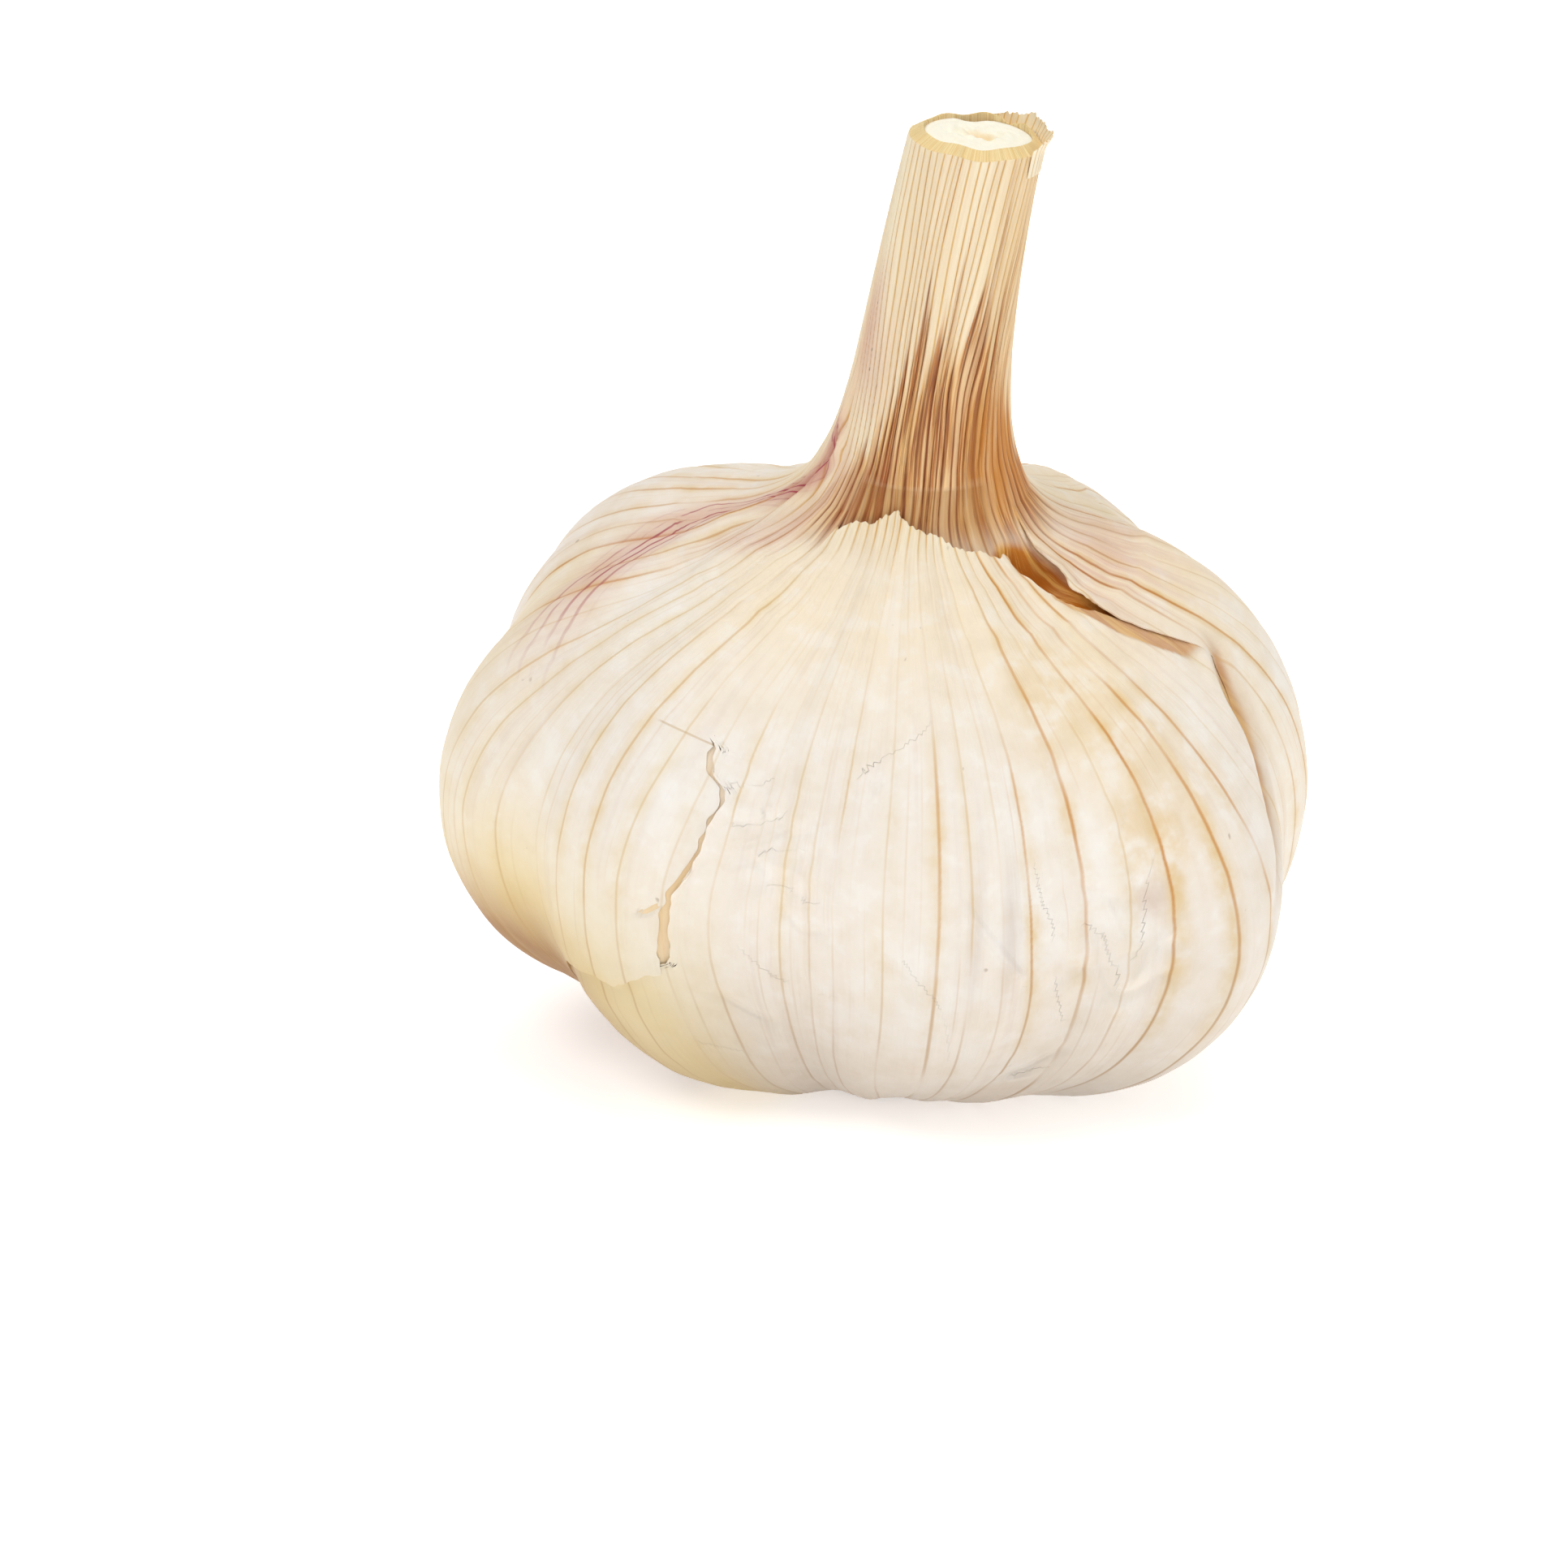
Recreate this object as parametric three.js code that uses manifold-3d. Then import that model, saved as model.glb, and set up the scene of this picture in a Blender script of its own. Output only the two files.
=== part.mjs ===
// A whole garlic bulb with its cut neck, standing on the rounded feet of its cloves.
//
// Units are millimetres and +Z is up. The origin is on the surface that the bulb stands on,
// under the middle of its box. -Y is the front.
//
// A place on the bulb is given by its turn, the angle round the growing axis in degrees
// (0 is +X, 90 is the back, 180 is -X, 270 is the front), and by its climb, the share of the
// way along the skin from the root (0) to the cut end of the neck (1).

import * as THREE from 'three';
import Module from 'manifold-3d';
import { mergeVertices } from 'three/addons/utils/BufferGeometryUtils.js';

const wasm = await Module();
wasm.setup();

const { lerp, clamp, smoothstep, degToRad, radToDeg } = THREE.MathUtils;

// ---- driving dimensions ------------------------------------------------------------------

// The growing axis stands here in the part's frame.
const AXIS_X = 0.4;
const AXIS_Y = -2.25;

// Each clove is an upright ellipsoid that leans on the core: the direction it lies in, how far
// it reaches from the axis, its half width, the heights of its foot and its shoulder, and its
// half depth along its own direction.
const CLOVES = [
  { turn: 183, reach: 31.5, halfWidth: 9.9, foot: 6.6, shoulder: 34.9, halfDepth: 13.0 },
  { turn: 213.7, reach: 26.0, halfWidth: 11.3, foot: -0.35, shoulder: 38.3, halfDepth: 18.1 },
  { turn: 285.7, reach: 24.9, halfWidth: 15.0, foot: 0.1, shoulder: 38.1, halfDepth: 21.9 },
  { turn: 333.5, reach: 30.5, halfWidth: 12.3, foot: -0.35, shoulder: 33.6, halfDepth: 19.3 },
  { turn: 5.3, reach: 30.7, halfWidth: 11.1, foot: 2.0, shoulder: 38.5, halfDepth: 17.9 },
  { turn: 51.2, reach: 30.2, halfWidth: 12.3, foot: -0.42, shoulder: 39.1, halfDepth: 15.6 },
  { turn: 94, reach: 29.0, halfWidth: 12.0, foot: -0.4, shoulder: 37.3, halfDepth: 15.3 },
  { turn: 142.8, reach: 31.8, halfWidth: 13.6, foot: -0.42, shoulder: 39.7, halfDepth: 15.0 },
];

// The core fills the middle between the cloves.
const CORE = { radius: 19, bottom: 3, top: 39 };

// The skin is drawn tight over the feet and hangs more loosely over the shoulders.
const DRAPE_AT_FEET = 1.2;
const DRAPE_AT_SHOULDERS = 2.8;
const DRAPE_FROM = 2;
const DRAPE_TO = 36;

// The neck leans and bends through three points, and narrows towards the cut.
const NECK_BASE = { x: 2.2, y: 1.5, z: 30, radius: 4.3 };
const NECK_MIDDLE = { x: 2.6, y: -0.6, z: 46, radius: 5.4 };
const NECK_CUT = { x: 6.3, y: 0.1, z: 69.8, radius: 4.6 };
const NECK_FLARE = 4;
const CUT_SLOPE = 0.1;
const CUT_WAVE = 0.3;

// The ribs of the leaves wrapped round the neck, and the veins of the outer skin.
const RIB_HEIGHT = 0.22;
const RIBS_FROM = 0.76;
const RIBS_FULL = 0.88;
const VEIN_HEIGHT = 0.14;

// The pith of the flower stalk, in a hole down the neck.
const HOLE_RADIUS = 3.55;
const HOLE_DEPTH = 9;
const STALK_SIDES = 32;
const STALK_CLEARANCE = 0.45;
const STALK_BELOW_RIM = 0.25;
const HOLLOW = { long: 1.9, short: 0.55, depth: 1.1, back: 0.4 };

// The dried root plate, in a recess under the bulb.
const RECESS_TOP_RADIUS = 6.3;
const RECESS_TOP = 4.8;
const PLATE_RADIUS = 5.8;
const PLATE_RIM_RADIUS = 4.9;
const PLATE_THICKNESS = 2.1;
const ROOT_RINGS = [
  { radius: 1.5, count: 4, tilt: 6 },
  { radius: 3.1, count: 8, tilt: 14 },
  { radius: 4.5, count: 13, tilt: 20 },
];
const ROOT_LENGTH = 2.7;
const ROOT_SINK = 1.1;
const ROOT_RADIUS = 0.5;

// Pieces that touch keep this clearance.
const GAP = 0.3;

// Torn sheets of the dry outer skin. Each lies over the bulb between a left and a right edge,
// given as [climb, turn], and a lower and an upper edge, given as [turn, climb]. The bulb is
// sunk by the sheets' thickness and a gap where they cover it, so they end flush with the feet.
const SKIN_GAP = 0.57;
const SKIN_THICKNESS = 0.68;
const SKIN_DRAPE_AT_FEET = 1.7;
const SUNK_FROM = 0.16;
const SUNK_FULL = 0.24;
const RISES_FROM = 0.8;
const RISEN_FULL = 0.87;
const EDGE_CURL = 0.2;
const EDGE_CURL_WIDTH = 0.16;
const TEAR_WAVE = 0.006;
const SEAM_HALF_WIDTH = 0.55;

const FRONT_LEFT_SEAM = [
  [0.20, 226], [0.355, 228.5], [0.405, 229.5], [0.445, 233.5], [0.489, 236], [0.523, 232],
  [0.58, 225], [0.66, 225.5], [0.76, 232],
];
const FRONT_RIGHT_SEAM = [
  [0.20, 329], [0.38, 332], [0.455, 339], [0.50, 342], [0.54, 344], [0.57, 337], [0.60, 329.5],
  [0.643, 319.5], [0.695, 309.5], [0.74, 306],
];
const RIGHT_TEAR = [
  [0.20, 329], [0.38, 332], [0.455, 339], [0.50, 342], [0.54, 345], [0.575, 340], [0.61, 334],
  [0.665, 327], [0.70, 323], [0.80, 317],
];
const BACK_RIGHT_SEAM = [[0.20, 48], [0.45, 43], [0.78, 46]];
const BACK_LEFT_SEAM = [[0.20, 139], [0.40, 143], [0.78, 139]];

const SKINS = [
  {
    name: 'skin_front',
    seed: 3,
    left: FRONT_LEFT_SEAM,
    right: FRONT_RIGHT_SEAM,
    lower: [[226, 0.225], [250, 0.215], [268, 0.225], [290, 0.22], [310, 0.215], [335, 0.225]],
    upper: [
      [226, 0.752], [233, 0.758], [242, 0.768], [257, 0.779], [272, 0.765], [285, 0.753], [310, 0.737],
    ],
  },
  {
    name: 'skin_left',
    seed: 11,
    left: BACK_LEFT_SEAM,
    right: FRONT_LEFT_SEAM,
    lower: [
      [139, 0.245], [168, 0.255], [180, 0.29], [208, 0.335], [221, 0.337], [225, 0.348], [229, 0.352],
    ],
    upper: [[139, 0.765], [180, 0.785], [197, 0.78], [215, 0.765], [229, 0.76]],
  },
  {
    name: 'skin_back',
    seed: 23,
    left: BACK_RIGHT_SEAM,
    right: BACK_LEFT_SEAM,
    lower: [[46, 0.245], [70, 0.24], [95, 0.25], [120, 0.24], [141, 0.245]],
    upper: [[44, 0.77], [70, 0.755], [92, 0.775], [118, 0.76], [141, 0.77]],
  },
  {
    name: 'skin_right',
    seed: 37,
    left: RIGHT_TEAR,
    right: BACK_RIGHT_SEAM,
    lower: [[329, 0.235], [345, 0.245], [365, 0.25], [390, 0.24], [408, 0.245]],
    upper: [[317, 0.78], [330, 0.775], [350, 0.785], [375, 0.77], [405, 0.775]],
  },
];

// ---- how finely the surfaces are faceted -----------------------------------------------------

const COLUMNS = 96;
const BODY_ROWS = 22;
const NECK_ROWS = 14;
const SKIN_ROWS = 14;
const COLUMN_TURN = 360 / COLUMNS;

// The skin is met by rays that fan out from FAN_Z over the body, and then climb the neck's axis.
const FAN_Z = 19;
const FAN_TOP = 50;
const BODY_CLIMB = 0.62;
const MOUTH_CLIMB = 0.091;
const LONGEST_RAY = 45;
const RAY_HALVINGS = 26;

// ---- small helpers ----------------------------------------------------------------------

function seededRandom(seed) {
  let state = seed * 7919 + 17;
  return () => {
    state = (state * 48271) % 2147483647;
    return state / 2147483647;
  };
}

// A smooth wave between about -1 and 1, made of a few sines with drawn phases.
function makeWave(seed, frequencies) {
  const random = seededRandom(seed);
  random();
  const sines = frequencies.map((frequency) => ({ frequency, phase: 2 * Math.PI * random() }));
  return (x) => {
    const heights = sines.map(({ frequency, phase }) => Math.sin(frequency * x + phase));
    return heights.reduce((total, height) => total + height, 0) / sines.length;
  };
}

// The value at x of a line through [x, value] points.
function alongLine(points, x) {
  for (let i = 1; i < points.length; i += 1) {
    const [x0, value0] = points[i - 1];
    const [x1, value1] = points[i];
    if (x <= x1) {
      return lerp(value0, value1, clamp((x - x0) / (x1 - x0), 0, 1));
    }
  }
  return points[points.length - 1][1];
}

// A smooth minimum of distances, which rounds the crease between the shapes by about `softness`.
function smoothUnion(distances, softness) {
  const nearest = Math.min(...distances);
  const shares = distances.map((distance) => Math.exp((nearest - distance) / softness));
  const sum = shares.reduce((total, share) => total + share, 0);
  return nearest - softness * Math.log(sum);
}

// ---- the form of the bulb -------------------------------------------------------------------

function distanceToClove(clove, x, y, z) {
  const angle = degToRad(clove.turn);
  const outward = x * Math.cos(angle) + y * Math.sin(angle) - (clove.reach - clove.halfDepth);
  const sideways = y * Math.cos(angle) - x * Math.sin(angle);
  const halfHeight = (clove.shoulder - clove.foot) / 2;
  const upward = z - (clove.shoulder + clove.foot) / 2;
  const a = outward / clove.halfDepth;
  const b = sideways / clove.halfWidth;
  const c = upward / halfHeight;
  const size = Math.hypot(a, b, c);
  const slope = Math.hypot(a / clove.halfDepth, b / clove.halfWidth, c / halfHeight) / size;
  return (size - 1) / slope;
}

function distanceToCore(x, y, z) {
  const halfHeight = (CORE.top - CORE.bottom) / 2;
  const upward = z - (CORE.top + CORE.bottom) / 2;
  const size = Math.hypot(x / CORE.radius, y / CORE.radius, upward / halfHeight);
  return (size - 1) * Math.min(CORE.radius, halfHeight);
}

// The neck's centre at height z: the parabola through its three points.
function neckCentre(z) {
  const points = [NECK_BASE, NECK_MIDDLE, NECK_CUT];
  const centre = { x: 0, y: 0 };
  points.forEach((point, i) => {
    const [p, q] = points.filter((_, other) => other !== i);
    const weight = ((z - p.z) * (z - q.z)) / ((point.z - p.z) * (point.z - q.z));
    centre.x += weight * point.x;
    centre.y += weight * point.y;
  });
  return centre;
}

const neckRadius = (z) => alongLine([NECK_BASE, NECK_MIDDLE, NECK_CUT].map((p) => [p.z, p.radius]), z);

// About how far a point is outside the bulb's outline, negative inside it.
function distanceToForm({ x, y, z }, drapeAtFeet) {
  const drape = lerp(drapeAtFeet, DRAPE_AT_SHOULDERS, smoothstep(z, DRAPE_FROM, DRAPE_TO));
  const cloves = CLOVES.map((clove) => distanceToClove(clove, x, y, z));
  const body = smoothUnion([...cloves, distanceToCore(x, y, z)], drape);
  const along = Math.max(z, NECK_BASE.z);
  const centre = neckCentre(along);
  const neck = Math.hypot(x - centre.x, y - centre.y, z - along) - neckRadius(along);
  return smoothUnion([body, neck], NECK_FLARE);
}

// The ray that meets the outline at a turn and a climb.
function rayTo(turn, climb) {
  const overBody = clamp(climb / BODY_CLIMB, 0, 1);
  const upNeck = clamp((climb - BODY_CLIMB) / (1 - BODY_CLIMB), 0, 1);
  const pitch = degToRad(upNeck > 0 ? FAN_TOP * (1 - upNeck) : lerp(-90, FAN_TOP, overBody));
  const angle = degToRad(turn);
  const startZ = lerp(FAN_Z, NECK_CUT.z, upNeck);
  const centre = neckCentre(Math.max(startZ, NECK_BASE.z));
  return {
    start: new THREE.Vector3(centre.x * overBody, centre.y * overBody, startZ),
    direction: new THREE.Vector3(
      Math.cos(angle) * Math.cos(pitch),
      Math.sin(angle) * Math.cos(pitch),
      Math.sin(pitch),
    ),
    upNeck,
  };
}

// The point `lift` outside the outline. The feet are flattened where the bulb stands, and the cut
// at the top slopes down to the right.
function formPoint(turn, climb, lift, drapeAtFeet = DRAPE_AT_FEET) {
  const { start, direction, upNeck } = rayTo(turn, climb);
  let near = 0;
  let far = LONGEST_RAY;
  for (let i = 0; i < RAY_HALVINGS; i += 1) {
    const middle = (near + far) / 2;
    const point = start.clone().addScaledVector(direction, middle);
    if (distanceToForm(point, drapeAtFeet) < lift) {
      near = middle;
    } else {
      far = middle;
    }
  }
  const point = start.clone().addScaledVector(direction, (near + far) / 2);
  point.z = Math.max(point.z, 0);
  point.z -= CUT_SLOPE * (point.x - start.x) * upNeck;
  return point;
}

// ---- closed meshes ----------------------------------------------------------------------

function geometryFrom(points, triangles) {
  const geometry = new THREE.BufferGeometry();
  const coordinates = points.flatMap((point) => point.toArray());
  geometry.setAttribute('position', new THREE.Float32BufferAttribute(coordinates, 3));
  geometry.setIndex(triangles.flat());
  return geometry;
}

// A closed surface from a first pole through rings of points to a last pole. Seen from outside,
// the rings run anticlockwise about the way from the first pole to the last.
function closedRings(firstPole, rings, lastPole) {
  const sides = rings[0].length;
  const points = [firstPole, ...rings.flat(), lastPole];
  const at = (ring, side) => 1 + ring * sides + (side % sides);
  const last = points.length - 1;
  const triangles = [];
  for (let side = 0; side < sides; side += 1) {
    triangles.push([0, at(0, side + 1), at(0, side)]);
    for (let ring = 0; ring < rings.length - 1; ring += 1) {
      triangles.push([at(ring, side), at(ring, side + 1), at(ring + 1, side + 1)]);
      triangles.push([at(ring, side), at(ring + 1, side + 1), at(ring + 1, side)]);
    }
    triangles.push([at(rings.length - 1, side), at(rings.length - 1, side + 1), last]);
  }
  return geometryFrom(points, triangles);
}

function circle(centre, radius, z, sides) {
  return Array.from({ length: sides }, (_, i) => {
    const angle = (2 * Math.PI * i) / sides;
    const x = centre.x + radius * Math.cos(angle);
    const y = centre.y + radius * Math.sin(angle);
    return new THREE.Vector3(x, y, z);
  });
}

// A closed sheet from a grid of inner points and a grid of outer points, both [column][row].
function closedSheet(inner, outer) {
  const columns = inner.length;
  const rows = inner[0].length;
  const count = columns * rows;
  const points = [...inner.flat(), ...outer.flat()];
  const inside = (column, row) => column * rows + row;
  const outside = (column, row) => count + inside(column, row);
  const triangles = [];
  const quad = (a, b, c, d) => triangles.push([a, b, c], [a, c, d]);
  for (let i = 0; i < columns - 1; i += 1) {
    for (let j = 0; j < rows - 1; j += 1) {
      quad(outside(i, j), outside(i + 1, j), outside(i + 1, j + 1), outside(i, j + 1));
      triangles.push([inside(i, j), inside(i + 1, j + 1), inside(i + 1, j)]);
      triangles.push([inside(i, j), inside(i, j + 1), inside(i + 1, j + 1)]);
    }
    quad(inside(i, 0), inside(i + 1, 0), outside(i + 1, 0), outside(i, 0));
    quad(inside(i + 1, rows - 1), inside(i, rows - 1), outside(i, rows - 1), outside(i + 1, rows - 1));
  }
  const end = columns - 1;
  for (let j = 0; j < rows - 1; j += 1) {
    quad(inside(0, j + 1), inside(0, j), outside(0, j), outside(0, j + 1));
    quad(inside(end, j), inside(end, j + 1), outside(end, j + 1), outside(end, j));
  }
  return geometryFrom(points, triangles);
}

function solidFrom(geometry) {
  const bare = geometry.clone();
  bare.deleteAttribute('normal');
  bare.deleteAttribute('uv');
  const merged = mergeVertices(bare, 1e-4);
  return new wasm.Manifold(new wasm.Mesh({
    numProp: 3,
    vertProperties: new Float32Array(merged.attributes.position.array),
    triVerts: new Uint32Array(merged.index.array),
  }));
}

function geometryOf(solid) {
  const { vertProperties, triVerts } = solid.getMesh();
  const geometry = new THREE.BufferGeometry();
  geometry.setAttribute('position', new THREE.BufferAttribute(new Float32Array(vertProperties), 3));
  geometry.setIndex(new THREE.BufferAttribute(new Uint32Array(triVerts), 1));
  return geometry;
}

// ---- the pieces -------------------------------------------------------------------------

const cutWave = makeWave(5, [3, 5, 8, 13]);
const cutHeight = (x) => NECK_CUT.z - CUT_SLOPE * (x - NECK_CUT.x);

// How deep the bulb lies under its outline, to make room for the outer skin.
function sunkDepth(climb) {
  const covered = smoothstep(climb, SUNK_FROM, SUNK_FULL) * (1 - smoothstep(climb, RISES_FROM, RISEN_FULL));
  return (SKIN_GAP + SKIN_THICKNESS) * covered;
}

// The cloves in their inner skin and the ribbed neck, one grown body. A hole runs down the neck
// from its cut end, and a recess holds the root plate.
function bulbGeometry() {
  const turns = Array.from({ length: COLUMNS }, (_, column) => column * COLUMN_TURN);
  const climbs = [
    ...Array.from({ length: BODY_ROWS }, (_, row) => lerp(MOUTH_CLIMB, BODY_CLIMB, row / BODY_ROWS)),
    ...Array.from({ length: NECK_ROWS + 1 }, (_, row) => lerp(BODY_CLIMB, 1, row / NECK_ROWS)),
  ];
  const skin = climbs.map((climb) => turns.map((turn, column) => {
    const rib = column % 2 === 0 ? RIB_HEIGHT * smoothstep(climb, RIBS_FROM, RIBS_FULL) : 0;
    return formPoint(turn, climb, rib - sunkDepth(climb));
  }));
  const rim = skin[skin.length - 1];
  rim.forEach((point, column) => {
    point.z += CUT_WAVE * cutWave(degToRad(turns[column]));
  });
  const holeRim = circle(NECK_CUT, HOLE_RADIUS, 0, COLUMNS);
  holeRim.forEach((point, column) => {
    point.z = cutHeight(point.x) + CUT_WAVE * cutWave(degToRad(turns[column]));
  });
  const floorZ = NECK_CUT.z - HOLE_DEPTH;
  const floorCentre = neckCentre(floorZ);
  const root = { x: 0, y: 0 };
  return closedRings(
    new THREE.Vector3(0, 0, RECESS_TOP),
    [
      circle(root, RECESS_TOP_RADIUS, RECESS_TOP, COLUMNS),
      ...skin,
      holeRim,
      circle(floorCentre, HOLE_RADIUS, floorZ, COLUMNS),
    ],
    new THREE.Vector3(floorCentre.x, floorCentre.y, floorZ),
  );
}

// The white pith of the cut flower stalk, with a narrow hollow along its middle.
function stalkGeometry() {
  const radius = HOLE_RADIUS - STALK_CLEARANCE;
  const footZ = NECK_CUT.z - HOLE_DEPTH + GAP;
  const foot = neckCentre(footZ);
  const atTop = (scaleX, scaleY, drop) => circle(NECK_CUT, 1, 0, STALK_SIDES).map((point) => {
    const x = NECK_CUT.x + (point.x - NECK_CUT.x) * scaleX;
    const y = NECK_CUT.y + (point.y - NECK_CUT.y) * scaleY + HOLLOW.back * (1 - scaleY / radius);
    return new THREE.Vector3(x, y, cutHeight(x) - STALK_BELOW_RIM - drop);
  });
  return closedRings(
    new THREE.Vector3(foot.x, foot.y, footZ),
    [
      circle(foot, radius, footZ, STALK_SIDES),
      atTop(radius, radius, 0.15),
      atTop(radius * 0.85, radius * 0.8, 0),
      atTop(HOLLOW.long, HOLLOW.short, 0.05),
      atTop(HOLLOW.long * 0.7, HOLLOW.short * 0.6, HOLLOW.depth),
    ],
    new THREE.Vector3(NECK_CUT.x, NECK_CUT.y + HOLLOW.back, NECK_CUT.z - STALK_BELOW_RIM - HOLLOW.depth),
  );
}

// The root plate: a shallow dish of dry corky tissue with the stubs of the cut roots under it.
function rootPlateGeometry() {
  const topZ = RECESS_TOP - GAP - 0.05;
  const bottomZ = topZ - PLATE_THICKNESS;
  const root = { x: 0, y: 0 };
  const sides = 36;
  const dish = closedRings(
    new THREE.Vector3(0, 0, bottomZ + 0.3),
    [
      circle(root, PLATE_RIM_RADIUS, bottomZ, sides),
      circle(root, PLATE_RADIUS, lerp(bottomZ, topZ, 0.4), sides),
      circle(root, PLATE_RADIUS, topZ, sides),
    ],
    new THREE.Vector3(0, 0, topZ),
  );
  const random = seededRandom(41);
  let plate = solidFrom(dish);
  for (const ring of ROOT_RINGS) {
    for (let i = 0; i < ring.count; i += 1) {
      const angle = (2 * Math.PI * (i + 0.5 * random())) / ring.count;
      const radius = ROOT_RADIUS * lerp(0.8, 1.1, random());
      const length = ROOT_LENGTH * lerp(0.75, 1, random());
      const stub = new THREE.CylinderGeometry(radius, radius * 0.6, length, 6);
      stub.rotateX(Math.PI / 2);
      stub.translate(0, 0, -length / 2 + ROOT_SINK);
      stub.rotateY(-degToRad(ring.tilt));
      stub.rotateZ(angle);
      stub.translate(ring.radius * Math.cos(angle), ring.radius * Math.sin(angle), bottomZ + 0.3);
      plate = plate.add(solidFrom(stub));
    }
  }
  return geometryOf(plate);
}

// Half the turn that the slot between two sheets takes up at an edge.
function seamHalfTurn(turn, climb) {
  const { x, y } = formPoint(turn, climb, 0, SKIN_DRAPE_AT_FEET);
  return radToDeg(SEAM_HALF_WIDTH / Math.hypot(x, y));
}

// One torn sheet of outer skin, standing just off the inner skin, with curled ragged edges and
// a vein up every other column.
function skinGeometry({ seed, left, right, lower, upper }) {
  const wave = makeWave(seed, [1.1, 2.3, 3.7]);
  const leftTurn = left[0][1];
  const wrap = right[0][1] < leftTurn ? 360 : 0;
  const rightTurn = right[0][1] + wrap;
  const widthAt = (climb) => alongLine(right, climb) + wrap - alongLine(left, climb);
  const widths = [...left, ...right].map(([climb]) => widthAt(climb));
  const columns = Math.round(Math.max(...widths) / COLUMN_TURN);
  const grids = [-SKIN_THICKNESS, 0].map((lift, layer) => (
    Array.from({ length: columns + 1 }, (_, i) => {
      const across = i / columns;
      const nominalTurn = lerp(leftTurn, rightTurn, across);
      const lowest = alongLine(lower, nominalTurn) + TEAR_WAVE * wave(i);
      const highest = alongLine(upper, nominalTurn) + TEAR_WAVE * wave(i + 50);
      return Array.from({ length: SKIN_ROWS + 1 }, (__, j) => {
        const up = j / SKIN_ROWS;
        const climb = lerp(lowest, highest, up);
        const leftEdge = alongLine(left, climb);
        const rightEdge = alongLine(right, climb) + wrap;
        const from = leftEdge + seamHalfTurn(leftEdge, climb);
        const to = rightEdge - seamHalfTurn(rightEdge, climb);
        const toEdge = Math.min(across, 1 - across, up, 1 - up);
        const curl = EDGE_CURL * (1 - smoothstep(toEdge, 0, EDGE_CURL_WIDTH));
        const vein = layer === 1 && i % 2 === 0 ? VEIN_HEIGHT : 0;
        return formPoint(lerp(from, to, across), climb, lift + curl + vein, SKIN_DRAPE_AT_FEET);
      });
    })
  ));
  return closedSheet(grids[0], grids[1]);
}

// ---- finishes and assembly ---------------------------------------------------------------

function finish(colour, roughness) {
  return new THREE.MeshStandardMaterial({ color: colour, roughness, metalness: 0, flatShading: true });
}

function piece(name, geometry, material) {
  const mesh = new THREE.Mesh(geometry, material);
  mesh.name = name;
  return mesh;
}

const group = new THREE.Group();
group.position.set(AXIS_X, AXIS_Y, 0);
group.add(piece('bulb', bulbGeometry(), finish('#e9cfa6', 0.6)));
group.add(piece('flower_stalk', stalkGeometry(), finish('#fcf6dc', 0.8)));
group.add(piece('root_plate', rootPlateGeometry(), finish('#a98a63', 0.9)));
for (const skin of SKINS) {
  group.add(piece(skin.name, skinGeometry(skin), finish('#efe3d3', 0.5)));
}
group.updateMatrixWorld(true);

export default group;
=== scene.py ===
import math
from contextlib import contextmanager

import bpy
import numpy as np
from bpy.props import FloatProperty, FloatVectorProperty, IntProperty, PointerProperty
from bpy.types import Operator, Panel, PropertyGroup
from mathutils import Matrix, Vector


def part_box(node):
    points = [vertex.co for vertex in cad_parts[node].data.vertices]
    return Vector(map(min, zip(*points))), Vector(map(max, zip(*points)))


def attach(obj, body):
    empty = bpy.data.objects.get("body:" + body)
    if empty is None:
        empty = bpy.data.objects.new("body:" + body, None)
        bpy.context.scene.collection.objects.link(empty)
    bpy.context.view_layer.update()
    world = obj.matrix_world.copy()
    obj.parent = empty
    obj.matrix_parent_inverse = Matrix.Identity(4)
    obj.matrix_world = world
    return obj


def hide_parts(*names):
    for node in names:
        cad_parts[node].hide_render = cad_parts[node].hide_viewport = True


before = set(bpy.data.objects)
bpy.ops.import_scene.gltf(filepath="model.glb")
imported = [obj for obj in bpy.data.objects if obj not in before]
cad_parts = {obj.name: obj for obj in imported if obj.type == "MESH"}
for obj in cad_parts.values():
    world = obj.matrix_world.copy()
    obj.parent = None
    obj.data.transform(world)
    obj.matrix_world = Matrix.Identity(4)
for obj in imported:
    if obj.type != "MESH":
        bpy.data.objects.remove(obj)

bl_info = {
    "name": "Garlic bulb",
    "version": (1, 0, 0),
    "blender": (4, 5, 0),
    "location": "View3D > Sidebar > Garlic",
    "description": "Dresses a whole garlic bulb: papery skins, ribbed neck, cut pith and root plate",
    "category": "Object",
}

# The form is worked out in millimetres, in a frame that stands on the growing axis, and is laid
# in the mesh in metres, in the part's own frame. A place on the bulb is given by its turn, the
# angle round the axis in degrees (0 is +X, 90 the back, 180 is -X, 270 the front), and by its
# climb, the share of the way along the skin from the root (0) to the cut end of the neck (1).
MM = 0.001
AXIS = np.array([0.4, -2.25, 0])

# ---- the form of the bulb -----------------------------------------------------------------------

# Each clove: the turn it lies at, its reach from the axis, its half width, the heights of its
# foot and its shoulder, and its half depth.
CLOVES = (
    (183, 31.5, 9.9, 6.6, 34.9, 13),
    (213.7, 26, 11.3, -0.35, 38.3, 18.1),
    (285.7, 24.9, 15, 0.1, 38.1, 21.9),
    (333.5, 30.5, 12.3, -0.35, 33.6, 19.3),
    (5.3, 30.7, 11.1, 2, 38.5, 17.9),
    (51.2, 30.2, 12.3, -0.42, 39.1, 15.6),
    (94, 29, 12, -0.4, 37.3, 15.3),
    (142.8, 31.8, 13.6, -0.42, 39.7, 15),
)
CORE_RADIUS, CORE_BOTTOM, CORE_TOP = 19.0, 3.0, 39.0

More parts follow.
